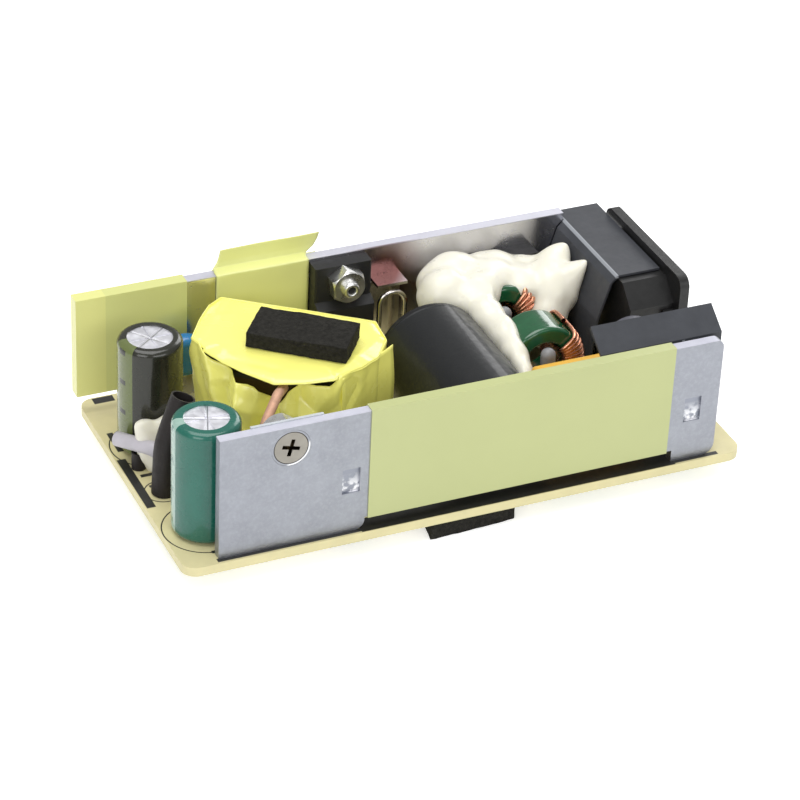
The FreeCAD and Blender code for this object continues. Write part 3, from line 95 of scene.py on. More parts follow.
# Materials
class Surface:
    """A procedural material around one Principled shader, with object coordinates in metres."""

    def __init__(self, name, colour, rough=0.5, metal=0.0, coat=0.0, specular=0.5):
        self.material = bpy.data.materials.new(name)
        self.material.use_nodes = True
        self.tree = self.material.node_tree
        self.shader = self.tree.nodes["Principled BSDF"]
        self.shader.inputs["Base Color"].default_value = (*colour, 1)
        self.shader.inputs["Roughness"].default_value = rough
        self.shader.inputs["Metallic"].default_value = metal
        self.shader.inputs["Coat Weight"].default_value = coat
        self.shader.inputs["Coat Roughness"].default_value = 0.08
        self.shader.inputs["Specular IOR Level"].default_value = specular
        self.coordinates = self.tree.nodes.new("ShaderNodeTexCoord").outputs["Object"]
        self.colour = None
        self.dull = None
        self.height = None

    def node(self, kind, **inputs):
        item = self.tree.nodes.new(kind)
        for key, value in inputs.items():
            socket = item.inputs[key.replace("_", " ")]
            if isinstance(value, bpy.types.NodeSocket):
                self.tree.links.new(value, socket)
            else:
                socket.default_value = value
        return item

    def math(self, operation, first, second=0.0, third=None):
        item = self.tree.nodes.new("ShaderNodeMath")
        item.operation = operation
        for index, value in enumerate((first, second, third)):
            if value is None:
                continue
            if isinstance(value, bpy.types.NodeSocket):
                self.tree.links.new(value, item.inputs[index])
            else:
                item.inputs[index].default_value = value
        return item.outputs[0]

    def placed(self, scale=(1, 1, 1), centre=(0, 0, 0), turn=0.0):
        """Object coordinates shifted to a centre, turned about Z and scaled."""
        shifted = self.tree.nodes.new("ShaderNodeVectorMath")
        shifted.operation = "SUBTRACT"
        self.tree.links.new(self.coordinates, shifted.inputs[0])
        shifted.inputs[1].default_value = centre
        mapping = self.node("ShaderNodeMapping", Vector=shifted.outputs[0], Scale=scale)
        mapping.inputs["Rotation"].default_value = (0, 0, turn)
        return mapping.outputs[0]

    def noise(self, scale, detail=3.0, rough=0.55, stretch=(1, 1, 1)):
        item = self.node("ShaderNodeTexNoise", Vector=self.placed(stretch), Scale=scale, Detail=detail)
        item.inputs["Roughness"].default_value = rough
        return item.outputs["Fac"]

    def cells(self, scale):
        return self.node("ShaderNodeTexVoronoi", Vector=self.coordinates, Scale=scale).outputs["Distance"]

    def ramp(self, value, low, high, from_value=0.0, to_value=1.0):
        item = self.node("ShaderNodeMapRange", Value=value, From_Min=low, From_Max=high)
        item.inputs["To Min"].default_value = from_value
        item.inputs["To Max"].default_value = to_value
        return item.outputs["Result"]

    def mix(self, factor, first, second):
        item = self.tree.nodes.new("ShaderNodeMix")
        item.data_type = "RGBA"
        for index, value in ((0, factor), (6, first), (7, second)):
            if isinstance(value, bpy.types.NodeSocket):
                self.tree.links.new(value, item.inputs[index])
            elif index:
                item.inputs[index].default_value = (*value[:3], 1)
            else:
                item.inputs[index].default_value = value
        return item.outputs[2]

    def paint(self, factor, other):
        """Paints another colour over the surface where the factor is 1."""
        base = self.colour or tuple(self.shader.inputs["Base Color"].default_value)[:3]
        self.colour = self.mix(factor, base, other)
        self.tree.links.new(self.colour, self.shader.inputs["Base Color"])
        return self

    def vary(self, amount, scale):
        """Slow changes of lightness."""
        base = tuple(self.shader.inputs["Base Color"].default_value)[:3]
        light = tuple(min(1.0, part * (1 + amount)) for part in base)
        dark = tuple(part * (1 - amount) for part in base)
        self.colour = self.mix(self.ramp(self.noise(scale), 0.3, 0.7), dark, light)
        self.tree.links.new(self.colour, self.shader.inputs["Base Color"])
        return self

    def shine(self, low, high, scale):
        """Roughness between two values."""
        self.dull = self.ramp(self.noise(scale), 0.3, 0.7, low, high)
        self.tree.links.new(self.dull, self.shader.inputs["Roughness"])
        return self

    def relief(self, height, depth):
        """Bumps of a depth in metres, on top of the earlier ones."""
        bump = self.node("ShaderNodeBump", Height=height, Strength=1.0, Distance=depth)
        if self.height:
            self.tree.links.new(self.height, bump.inputs["Normal"])
        self.height = bump.outputs["Normal"]
        self.tree.links.new(self.height, self.shader.inputs["Normal"])
        return self

    def all_of(self, *factors):
        """1 where every factor is 1."""
        product = factors[0]
        for factor in factors[1:]:
            product = self.math("MULTIPLY", product, factor)
        return product

    def apart(self, vector=None):
        """The three coordinates of a vector."""
        return self.node("ShaderNodeSeparateXYZ", Vector=vector or self.coordinates).outputs

    def distance(self, centre, flatten):
        """Distance from an axis through the centre. flatten has 0 for the axis's own direction."""
        length = self.tree.nodes.new("ShaderNodeVectorMath")
        length.operation = "LENGTH"
        self.tree.links.new(self.placed(flatten, centre), length.inputs[0])
        return length.outputs["Value"]

    def coat(self, weight, rough):
        self.shader.inputs["Coat Weight"].default_value = weight
        self.shader.inputs["Coat Roughness"].default_value = rough
        return self

    def within(self, axis, low, high, soft=0.00004):
        """1 where the coordinate lies between two values in metres."""
        value = self.apart()[axis]
        above = self.ramp(value, low - soft, low + soft)
        below = self.ramp(value, high - soft, high + soft, 1.0, 0.0)
        return self.math("MULTIPLY", above, below)


def plastic(name, colour, rough, bump=0.00002, grain=6000, spread=0.06, coat=0.0, specular=0.5):
    surface = Surface(name, colour, rough, coat=coat, specular=specular)
    surface.vary(spread, 350).shine(rough * 0.85, min(1, rough * 1.2), 900)
    return surface.relief(surface.noise(grain), bump)


def metal(name, colour, rough, bump=0.000008, grain=3500):
    surface = Surface(name, colour, rough, 1.0)
    surface.vary(0.06, 260).shine(rough * 0.8, rough * 1.25, 700)
    return surface.relief(surface.noise(grain), bump)


def board_look():
    """Pale laminate with printed bars and rings on top and dull green below."""
    surface = Surface("board_laminate", shade(217, 208, 160), 0.42)
    surface.vary(0.05, 240).shine(0.35, 0.55, 800)
    warp = surface.noise(9000, stretch=(1, 0.1, 1))
    weft = surface.noise(9000, stretch=(0.1, 1, 1))
    surface.relief(surface.math("ADD", warp, weft), 0.00001)
    up = surface.within("Z", BOARD_HIGH.z - 0.00005, BOARD_HIGH.z + 0.001)
    for (x0, x1), (y0, y1) in BARS:
        low, high = board(x0, y0, 0), board(x1, y1, 0)
        along_bar, across_bar = surface.within("X", low.x, high.x), surface.within("Y", low.y, high.y)
        surface.paint(surface.math("MULTIPLY", surface.math("MULTIPLY", along_bar, across_bar), up), INK)
    for x, y, radius in RINGS:
        gap = surface.math("SUBTRACT", surface.distance(board(x, y, 0), (1, 1, 0)), radius * MM)
        ring = surface.math("LESS_THAN", surface.math("ABSOLUTE", gap), RING_HALF * MM)
        surface.paint(surface.math("MULTIPLY", ring, up), INK)
    under = surface.within("Z", BOARD_LOW.z - 0.001, BOARD_LOW.z + 0.00003)
    trace = surface.math("GREATER_THAN", surface.noise(140, 1.0), 0.5)
    surface.paint(surface.math("MULTIPLY", trace, under), (0.30, 0.33, 0.12))
    return surface.material


def ring_at(surface, distance, radius, width):
    """1 on a soft ring of a radius and width in millimetres."""
    gap = surface.math("ABSOLUTE", surface.math("SUBTRACT", distance, radius * MM))
    return surface.ramp(gap, width * MM * 0.5, width * MM * 0.3)


def middle(node):
    low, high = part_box(node)
    return (low + high) / 2


def screw_gap_shade_and_highlight(surface):
    """Painted shade in the gap round the countersunk head, and a painted highlight on one side of the ring
    beside it.
    """
    centre = middle("screw_front")
    distance = surface.distance(centre, (1, 0, 1))
    surface.relief(ring_at(surface, distance, 3.0, 0.5), 0.0001)
    # Painted shade in the gap round the head
    surface.paint(ring_at(surface, distance, 2.8, 0.2), shade(70, 68, 64))
    split = surface.apart(surface.placed(centre=centre))
    side = surface.math("SUBTRACT", split["X"], split["Z"])
    # Painted highlight on the ring's lower right side
    ring_highlight_side = surface.ramp(side, 0.0022, 0.0028)
    surface.paint(surface.all_of(ring_at(surface, distance, 3.05, 0.36), ring_highlight_side), shade(245, 246, 250))


def dimple_shade_and_highlight(surface):
    """Painted shade over the floors of the two stamped squares, with an uneven painted highlight on their
    lower part, so the top stays darker.
    """
    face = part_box("heatsink_front")[0].y
    deep = surface.within("Y", face + 0.0003, face + 0.0006)
    for at_x in DIMPLES_X:
        start, end = board(at_x - DIMPLE_HALF, 0, DIMPLE_LOW), board(at_x + DIMPLE_HALF, 0, DIMPLE_HIGH)
        wide, tall = surface.within("X", start.x, end.x), surface.within("Z", start.z, end.z)
        square = surface.all_of(deep, wide, tall)
        lower = surface.ramp(surface.apart()["Z"], start.z + 0.0036, start.z + 0.0008)
        # Painted shade over the whole floor of the square
        surface.paint(surface.math("MULTIPLY", square, 0.7), shade(150, 154, 166))
        # Uneven painted highlight on the lower part of the floor
        highlight_patch = surface.ramp(surface.noise(900), 0.42, 0.56)
        surface.paint(surface.all_of(square, lower, highlight_patch), shade(252, 252, 255))


def heatsink_look(name, colour, rough, front):
    """Aluminium sheet with fine scratches, a dull top edge and a painted highlight along that edge."""
    surface = Surface(name, colour, rough, 1.0)
    surface.vary(0.05, 160).shine(rough * 0.85, rough * 1.2, 500)
    surface.relief(surface.noise(1900, 5.0, 0.7), 0.00005 if front else 0.000006)
    if front:
        blotch = surface.ramp(surface.noise(1500, 4.0, 0.7), 0.45, 0.8, 0.0, 0.3)
        surface.paint(blotch, shade(196, 199, 207))
    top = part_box("heatsink_front")[1].z
    # Painted highlight along the top edge, where light falls on it
    edge = surface.within("Z", top - 0.00012, top + 0.001)
    surface.paint(surface.math("MULTIPLY", edge, 0.8), shade(217, 217, 227))
    dull = surface.math("ADD", surface.dull, surface.math("MULTIPLY", edge, 0.3))
    surface.tree.links.new(dull, surface.shader.inputs["Roughness"])
    if front:
        screw_gap_shade_and_highlight(surface)
        dimple_shade_and_highlight(surface)
    else:
        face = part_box("heatsink_rear")[0].y
        inner = surface.within("Y", face - 0.001, face + 0.0003)
        # Brownish painted reflection of the bracket on the inner face
        spot = surface.ramp(surface.distance(board(*BRACKET_REFLECTION), (1, 0, 0.7)), BRACKET_REFLECTION_REACH * MM, 0.003)
        surface.paint(surface.all_of(inner, spot, 0.92), shade(96, 46, 40))
    for turn, scale in ((0.3, 900), (1.2, 700), (-0.8, 800)):
        drawn = surface.placed((1, 0.04, 0.9), turn=turn)
        wave = surface.node("ShaderNodeTexNoise", Vector=drawn, Scale=scale)
        surface.relief(surface.ramp(wave.outputs["Fac"], 0.70, 0.74), -0.000012)
    return surface.material


def tape_look(name, colour, doubled=None):
    """Tape over metal. Where it is doubled, past a place along the board, it is darker."""
    surface = Surface(name, colour, 0.34).coat(0.35, 0.16)
    surface.vary(0.02, 60).shine(0.3, 0.38, 150)
    if doubled:
        band = surface.within("X", board(doubled, 0, 0).x, board(100, 0, 0).x)
        surface.paint(surface.math("MULTIPLY", band, 0.55), shade(200, 205, 134))
    return surface.relief(surface.noise(90, 0.0), 0.00005).material


def wrap_look():
    """Bright translucent tape with a faint painted glow, which stands in for light passing through its folds.
    """
    surface = Surface("wrapped_tape", shade(239, 235, 126), 0.24).coat(0.5, 0.08)
    # Painted glow: a faint emission that brightens the shaded walls
    surface.shader.inputs["Emission Color"].default_value = (*shade(250, 244, 118), 1)
    surface.shader.inputs["Emission Strength"].default_value = 0.11
    surface.vary(0.04, 150).shine(0.2, 0.3, 200)
    return surface.relief(surface.noise(200, 1.0, 0.4), 0.00014).material


def can_look(name, colour, stripe, centre, angle, width, marks):
    """A sleeve with a stripe down one side and short plain marks on it."""
    surface = Surface(name, colour, 0.25, coat=0.6, specular=0.3)
    surface.vary(0.08, 260).shine(0.2, 0.32, 500)
    surface.relief(surface.noise(700, 2.0), 0.00004)
    split = surface.apart(surface.placed(centre=centre, turn=-angle))
    sweep = surface.math("ABSOLUTE", surface.math("ARCTAN2", split["Y"], split["X"]))
    surface.paint(surface.math("LESS_THAN", sweep, width), stripe)
    slim = surface.math("LESS_THAN", sweep, width * 0.35)
    steps = surface.math("FRACT", surface.math("MULTIPLY", split["Z"], 180))
    dash = surface.math("LESS_THAN", surface.math("ABSOLUTE", surface.math("SUBTRACT", steps, 0.5)), 0.08)
    surface.paint(surface.math("MULTIPLY", slim, dash), marks)
    return surface.material


def foam_look():
    surface = Surface("foam_rubber", shade(40, 39, 36), 0.9, specular=0.12)
    surface.vary(0.35, 1500)
    surface.paint(surface.ramp(surface.cells(2600), 0.06, 0.02), (0.16, 0.16, 0.15))
    surface.relief(surface.cells(3200), 0.00012)
    return surface.relief(surface.noise(1200), 0.00015).material


def silicone_look():
    surface = Surface("cured_silicone", shade(232, 229, 214), 0.3)
    surface.shader.inputs["Subsurface Weight"].default_value = 0.3
    surface.shader.inputs["Subsurface Radius"].default_value = (0.0012, 0.0012, 0.0009)
    surface.shader.inputs["Subsurface Scale"].default_value = 1.0
    surface.vary(0.03, 220).shine(0.24, 0.42, 300)
    surface.relief(surface.ramp(surface.cells(330), 0.06, 0.0), -0.0001)
    return surface.relief(surface.noise(500, 2.0), 0.00005).material


def core_look():
    surface = Surface("coated_core", shade(24, 84, 50), 0.2, coat=0.7)
    surface.vary(0.15, 400).shine(0.1, 0.24, 600)
    return surface.relief(surface.noise(500, 2.0), 0.00008).material


def vent_look(name, node, turn):
    """A can's top with two pressed lines that cross."""
    surface = metal(name, shade(242, 242, 248), 0.42, grain=700, bump=0.000004)
    split = surface.apart(surface.placed(centre=middle(node), turn=turn))
    for axis in "XY":
        line = surface.ramp(surface.math("ABSOLUTE", split[axis]), 0.00028, 0.00004)
        surface.relief(line, -0.00022)
    return surface.material


def screw_look(name, node):
    """A plated countersunk head with painted shade in its cross recess, deeper than 0.16 mm from the outer
    face.
    """
    surface = metal(name, shade(158, 154, 146), 0.42, grain=1500)
    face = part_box(node)[0].y
    deep = surface.within("Y", face + 0.00016, face + 0.002)
    inner = surface.math("LESS_THAN", surface.distance(middle(node), (1, 0, 1)), 0.0017)
    # Painted shade in the cross recess
    surface.paint(surface.math("MULTIPLY", deep, inner), shade(74, 64, 44))
    return surface.material


def copper_look(name, colour, rough):
    surface = Surface(name, colour, rough, 1.0, coat=0.4)
    surface.vary(0.1, 500).shine(rough * 0.8, rough * 1.3, 1200)
    return surface.relief(surface.noise(1500, 2.0), 0.000004).material


def bulk_look():
    """Shrunk sleeve with a faint ring near its far shoulder."""
    black = shade(19, 21, 23)
    surface = plastic("bulk_sleeve", black, 0.44, bump=0.00003, grain=500, coat=0.22, specular=0.3)
    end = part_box("bulk_capacitor_sleeve")[1].y
    ring = surface.within("Y", end - 0.0021, end - 0.0017, 0.0002)
    return surface.relief(ring, 0.00012).material


def card_look():
    """Dark card with a painted highlight along the fold of the inlet's card."""
    surface = plastic("grey_card", shade(62, 64, 69), 0.42, bump=0.00001, spread=0.1, specular=0.35)
    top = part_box("insulation_sheet_inlet")[1].z
    fold = board(CARD_FOLD_X, 0, 0).x
    fold_highlight = surface.within("X", fold - 0.0003, fold + 0.00022)
    near_top = surface.within("Z", top - 0.0005, top + 0.001)
    # Painted highlight along the fold, near the top
    surface.paint(surface.math("MULTIPLY", fold_highlight, near_top), shade(150, 154, 160))
    return surface.material


def lead_look():
    surface = Surface("lead_copper", shade(203, 160, 134), 0.6, 0.35)
    return surface.vary(0.12, 900).relief(surface.noise(1500, 3.0), 0.00008).material


LOOKS = {}


def dress(material, *names):
    """Put a material on the nodes, and keep it for the meshes that replace them."""
    for name in names:
        mesh = NODES[name].data
        mesh.materials.clear()
        mesh.materials.append(material)
        LOOKS[name] = material


def dress_metals():
    dress(heatsink_look("front_sheet", shade(160, 163, 171), 0.42, True), "heatsink_front")
    dress(heatsink_look("rear_sheet", shade(205, 204, 210), 0.24, False), "heatsink_rear")
    dress(screw_look("screw_head", "screw_front"), "screw_front")
    dress(metal("nickel", shade(226, 226, 224), 0.3).material, "screw_rear", "nuts")
    dress(metal("plated_steel", (0.78, 0.74, 0.72), 0.18).material, "spring_clip", "wire_link")
    tinned = metal("tinned", (0.68, 0.68, 0.67), 0.3).material
    dress(tinned, "heatsink_legs", "rectifier_tab", "component_leads", "package_leads", "chip_pins")
    dress(tinned, "transformer_pins", "inlet_contacts", "solder_joints")
    dress(copper_look("wire_end", (0.75, 0.45, 0.38), 0.3), "cut_wires")
    can_top = metal("can_top", shade(220, 220, 226), 0.3, grain=900).material
    dress(can_top, "bulk_capacitor_can", "capacitor_small_can")
    dress(vent_look("dark_can_top", "capacitor_dark_can", 0.9), "capacitor_dark_can")
    dress(vent_look("green_can_top", "capacitor_green_can", 0.35), "capacitor_green_can")
    copper = copper_look("enamelled_copper", shade(226, 158, 126), 0.26)
    dress(copper, "choke_front_winding", "choke_rear_winding")
    dress(lead_look(), "transformer_lead")


def dress_soft_pieces():
    # The three tapes are one yellow tape: the rear copies are painted lighter and yellower than the front
    # one, partly as painted light, since more light falls on the rear tapes.
    dress(tape_look("front_tape", shade(182, 188, 130)), "tape_front")
    dress(tape_look("left_tape", shade(222, 222, 142), DOUBLED_TAPE_X), "tape_rear_left")
    dress(tape_look("middle_tape", shade(222, 224, 146)), "tape_rear_middle")
    dress(wrap_look(), "transformer_tape")
    dress(foam_look(), "transformer_pad", "foam_pad")
    fibre = plastic("fibre_sleeve", shade(38, 34, 33), 0.5, bump=0.00006, grain=2500, specular=0.25)
    dress(fibre.material, "tall_sleeve", "short_tube")
    soft = plastic("grey_soft_sleeve", (0.48, 0.46, 0.50), 0.4, bump=0.0001, grain=900)
    dress(soft.material, "grey_sleeve")
    dress(silicone_look(), "silicone_main", "silicone_small")
    dress(card_look(), "insulation_sheet_inlet", "insulation_sheet_front")
    dress(plastic("pad_rubber", (0.5, 0.53, 0.56), 0.6).material, "insulating_pad")


def dress_plastics():
    dress(board_look(), "circuit_board")
    epoxy = plastic("moulded_epoxy", shade(36, 36, 36), 0.45, bump=0.00001, grain=9000, specular=0.3).material
    dress(epoxy, "power_transistor", "rectifier_body", "bridge_rectifier")
    dress(epoxy, "control_chip", "optocoupler", "fuse")
    dark = can_look("dark_sleeve", shade(36, 37, 28), shade(98, 108, 62), board(*DARK_CAN, 0),
                    math.radians(-166), 0.42, shade(34, 36, 26))
    dress(dark, "capacitor_dark_sleeve")
    green = can_look("green_sleeve", shade(31, 99, 85), shade(150, 180, 168), board(*GREEN_CAN, 0),
                     math.radians(176), 0.22, shade(44, 112, 100))
    dress(green, "capacitor_green_sleeve")
    dress(bulk_look(), "bulk_capacitor_sleeve", "capacitor_small_sleeve")
    dress(plastic("ferrite", (0.03, 0.03, 0.032), 0.6).material, "transformer_core")
    dress(plastic("bobbin", (0.012, 0.011, 0.01), 0.5).material, "transformer_bobbin")
    dress(plastic("varnished_coil", shade(52, 34, 22), 0.35).material, "transformer_winding")
    blue = plastic("blue_dip", (0.01, 0.20, 0.55), 0.2, grain=600, bump=0.0001, coat=0.5)
    dress(blue.material, "blue_disc_capacitor")
    dress(plastic("grey_dip", (0.08, 0.08, 0.10), 0.45, grain=900, bump=0.0001).material, "varistor")
    dress(core_look(), "choke_front_core", "choke_rear_core")
    dress(plastic("grey_moulding", (0.24, 0.24, 0.25), 0.35).material, "choke_front_base", "choke_rear_base")
    orange = plastic("orange_case", shade(228, 176, 60), 0.3, bump=0.00004, grain=900)
    dress(orange.material, "film_capacitor")
    dress(plastic("inlet_moulding", (0.012, 0.012, 0.012), 0.4, bump=0.00002).material, "inlet_housing")


def smoothed(item):
    item.data.polygons.foreach_set("use_smooth", [True] * len(item.data.polygons))
    return item


def piece(name, mesh, material, node, replaces=True, smooth=True):
    """A mesh as a piece of the root body, in place of the node's own solid or beside it."""
    item = bpy.data.objects.new(name, mesh)
    bpy.context.scene.collection.objects.link(item)
    mesh.materials.clear()
    mesh.materials.append(material)
    if smooth:
        smoothed(item)
    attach(item, "root")
    if replaces:
        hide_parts(node)
    return item


def new_mesh(name, shape):
    """The bmesh as a mesh; the bmesh is freed."""
    mesh = bpy.data.meshes.new(name)
    shape.to_mesh(mesh)
    shape.free()
    return mesh


def evaluated(item):
    depsgraph = bpy.context.evaluated_depsgraph_get()
    depsgraph.update()
    return bpy.data.meshes.new_from_object(item.evaluated_get(depsgraph))


def applied(item):
    """The item with its modifiers applied."""
    mesh = evaluated(item)
    old = item.data
    item.modifiers.clear()
    item.data = mesh
    bpy.data.meshes.remove(old)
    return item


def blob(name, balls, voxel, rounds, node, ripple):
    """Overlapping balls joined into one smooth lump. Each ball: centre, half sizes, turn about Z."""
    joined = bmesh.new()
    for centre, (a, b, c), turn in balls:
        place = (Matrix.Translation(board(*centre)) @ Matrix.Rotation(math.radians(turn), 4, "Z")
                 @ Matrix.Diagonal((a * MM, b * MM, c * MM, 1)))
        bmesh.ops.create_icosphere(joined, subdivisions=4, radius=1.0, matrix=place)
    item = piece(name, new_mesh(name, joined), LOOKS[node], node)
    remesh = item.modifiers.new("remesh", "REMESH")
    remesh.mode = "VOXEL"
    remesh.voxel_size = voxel * MM
    applied(item)
    smooth = item.modifiers.new("smooth", "SMOOTH")
    smooth.factor = 0.5
    smooth.iterations = rounds
    applied(item)
    for vertex in item.data.vertices:
        push = scatter(vertex.co, 160) * ripple + scatter(vertex.co, 420, 3.0) * ripple * 0.35
        vertex.co += vertex.normal * push * MM
    item.data.materials.clear()
    item.data.materials.append(LOOKS[node])
    return smoothed(item)


def pulled(item, spikes):
    """Draw the surface out into points. Each spike: root, tip, reach at the root."""
    for root, tip, reach in spikes:
        start, run = board(*root), board(*tip) - board(*root)
        for vertex in item.data.vertices:
            near = max(0.0, 1 - (vertex.co - start).length / (reach * MM))
            vertex.co += run * near ** 1.5


def silicone():
    """A lump over the rear choke with a strand to the front, and a dab beside the sleeves."""
    balls = [
        ((63.5, 43.0, 15.2), (6.0, 4.8, 4.8), 0),
        ((70.5, 43.4, 14.2), (6.5, 4.6, 4.7), 0),
        ((76.6, 43.0, 12.6), (5.6, 4.8, 4.8), 0),
        ((78.6, 37.6, 12.2), (4.2, 6.0, 6.4), 0),
        ((80.6, 40.2, 14.6), (3.4, 4.0, 4.4), 20),
        ((81.0, 36.2, 13.6), (2.9, 3.4, 4.6), -15),
        ((68.4, 39.8, 16.6), (5.2, 4.4, 2.7), 0),
        ((65.8, 36.6, 16.2), (4.0, 3.6, 3.6), 0),
        ((73.8, 38.6, 15.4), (4.6, 4.4, 2.5), 0),
        ((60.2, 38.4, 15.4), (5.0, 4.6, 5.0), 20),
        ((63.8, 35.6, 15.3), (4.6, 4.2, 3.9), 0),
        ((64.5, 31.0, 15.0), (3.2, 4.4, 3.4), 4),
        ((64.8, 25.8, 14.2), (2.9, 5.0, 3.5), 2),
        ((64.5, 20.8, 13.4), (2.4, 4.6, 3.5), -4),
        ((63.7, 15.9, 12.6), (1.9, 4.2, 3.0), -8),
        ((77.4, 33.6, 9.6), (4.2, 3.2, 5.0), 30),
    ]
    lump = blob("silicone_over_choke", balls, 0.4, 34, "silicone_main", 0.5)
    pulled(lump, [
        ((81.8, 40.6, 17.2), (83.6, 40.4, 20.2), 3.4),
        ((82.6, 35.8, 16.0), (84.4, 34.4, 20.4), 3.2),
        ((64.4, 34.0, 17.8), (66.8, 33.6, 17.6), 3.0),
    ])
    dab = [
        ((6.6, 28.4, 2.4), (3.1, 2.7, 4.2), 10),
        ((4.6, 28.8, 5.0), (2.5, 2.1, 4.2), 0),
        ((7.2, 28.6, 6.2), (2.6, 1.9, 2.8), 0),
        ((8.8, 26.0, 1.6), (2.4, 3.0, 3.0), -20),
        ((5.6, 25.0, 1.0), (1.6, 2.2, 1.8), 0),
    ]
    small = blob("silicone_by_sleeves", dab, 0.3, 14, "silicone_small", 0.45)
    pulled(small, [((3.9, 28.6, 8.0), (1.9, 28.4, 8.8), 2.6), ((7.6, 28.6, 8.2), (9.0, 28.8, 9.6), 2.6)])


# Transformer tape, in its own plane: u along the slit, v across it, then z above the board
WRAP_CENTRE = (28.5, 29.45)
WRAP_TURN = math.radians(-37.0)
WRAP_TOP, WRAP_BOTTOM = 19.35, 0.8
WRAP_OUTLINE = [
    (-14.9, -5.2), (-10.4, -8.3), (-4.7, -11.4), (1.2, -13.5), (5.8, -11.9), (10.7, -9.2), (13.6, -5.6),
    (15.3, -1.9), (15.4, 3.5), (12.4, 8.6), (-0.8, 8.7), (-13.9, 8.6), (-15.1, 5.5), (-15.3, 0.5),
]
# The torn lip under the slit: place along the front, drop below the top sheet
LIP = [(-16, 0), (-12.6, 0), (-10.8, 1.7), (-8.0, 2.5), (-4.0, 3.2), (-1.8, 4.4), (0.0, 6.2),
       (1.2, 5.6), (3.2, 3.2), (6.0, 2.3), (9.6, 2.2), (10.8, 0), (16, 0)]
# Folds of the front wall: u and z where it starts, u and z where it ends, how far it stands out, half width
FOLDS = [
    (0.4, 14.6, -1.8, 3.0, -2.8, 2.4), (-5.6, 17.0, -2.8, 4.0, 2.1, 2.2),
    (1.9, 14.6, 8.4, 9.5, 2.0, 2.2), (9.9, 17.5, 13.6, 3.0, 1.1, 2.6),
    (5.4, 16.8, 4.2, 4.0, -1.5, 2.2), (-11.6, 18.8, -7.6, 3.0, 1.1, 2.2),
    (-8.6, 13.0, -6.0, 5.0, -1.2, 2.0), (-15.0, 17.0, -12.0, 8.0, 0.5, 2.0),
    (8.2, 9.5, 12.0, 16.0, -0.9, 2.0), (-3.2, 5.0, 8.2, 3.2, 0.9, 2.4),
    (-8.6, 9.0, -2.4, 7.0, 0.8, 1.8), (-1.2, 11.0, -6.4, 13.5, 0.7, 1.6),
    (3.4, 12.0, 6.0, 5.0, 0.8, 1.7),
]
# Creases of the top sheet: u and v where it starts, u and v where it ends, height, half width
CREASES = [
    (-13.3, -4.4, -13.1, 8.2, 0.28, 1.0), (-15.0, -4.8, -8.5, -6.3, 0.22, 1.2),
    (10.4, -8.6, 14.2, 3.4, 0.3, 1.3), (14.2, 3.4, 10.2, 8.4, 0.25, 1.2),
    (-8.0, -8.9, 0.5, -9.8, -0.2, 1.6), (-14.6, 1.5, -11.0, 3.5, 0.18, 0.9),
    (8.0, -2.0, 14.0, -3.6, 0.14, 1.1),
]


def wrap_point(u, v, z):
    x = WRAP_CENTRE[0] + u * math.cos(WRAP_TURN) - v * math.sin(WRAP_TURN)
    y = WRAP_CENTRE[1] + u * math.sin(WRAP_TURN) + v * math.cos(WRAP_TURN)
    return board(x, y, z)


def along(table, at):
    """Value between the table's steps."""
    for (low, start), (high, end) in zip(table, table[1:]):
        if at <= high:
            return start + (end - start) * max(0.0, at - low) / (high - low)
    return table[-1][1]


def folded(folds, a, b):
    """Sum of straight folds, each highest on its own line and falling away evenly on both sides."""
    total = 0.0
    for a0, b0, a1, b1, height, width in folds:
        run = Vector((a1 - a0, b1 - b0))
        share = max(0.0, min(1.0, Vector((a - a0, b - b0)).dot(run) / run.length_squared))
        gap = math.hypot(a - a0 - run.x * share, b - b0 - run.y * share)
        total += height * max(0.0, 1.0 - gap / width)
    return total


def around(outline, steps):
    """Points along the closed outline, evenly spaced, its corners slightly eased."""
    count = len(outline)
    lengths = [math.dist(outline[i], outline[(i + 1) % count]) for i in range(count)]
    points = []
    for step in range(steps):
        target = sum(lengths) * step / steps
        index = 0
        while target > lengths[index]:
            target -= lengths[index]
            index += 1
        start, end = Vector(outline[index]), Vector(outline[(index + 1) % count])
        points.append(start.lerp(end, target / lengths[index]))
    return [(points[i - 1] + points[i] * 2 + points[(i + 1) % steps]) / 4 for i in range(steps)]


def ring_faces(sheet, lower, upper):
    for i in range(len(lower)):
        j = (i + 1) % len(lower)
        sheet.faces.new((lower[i], lower[j], upper[j], upper[i]))


def grid_faces(sheet, grid):
    for lower, upper in zip(grid, grid[1:]):
        for i in range(len(lower) - 1):
            sheet.faces.new((lower[i], lower[i + 1], upper[i + 1], upper[i]))


def wrap_wall(sheet, rim):
    """The upright tape, crumpled and folded at the front, leaning in towards the board."""
    rows = 44
    lines = []
    for row in range(rows + 1):
        share = row / rows
        line = []
        for u, v in rim:
            front = max(0.0, min(1.0, (-v - 1.0) / 3.0))
            drop = along(LIP, u) * front
            z = WRAP_BOTTOM + (WRAP_TOP - drop - WRAP_BOTTOM) * share
            outward = Vector((u, v * 1.4)).normalized()
            place = Vector((u, v, z)) * MM
            crumple = (scatter(place, 260) * 0.22 + scatter(place, 620, 5.0) * 0.08) * (0.35 + 0.65 * front)
            tuck = -1.3 * min(1.0, drop / 2.0) * share ** 7
            lean = -0.9 * (1 - share) * front
            moved = outward * (folded(FOLDS, u, z) * front + crumple + tuck + lean - 0.1)
            line.append(sheet.verts.new(wrap_point(u + moved.x, v + moved.y, z)))
        lines.append(line)
    for lower, upper in zip(lines, lines[1:]):
        ring_faces(sheet, lower, upper)


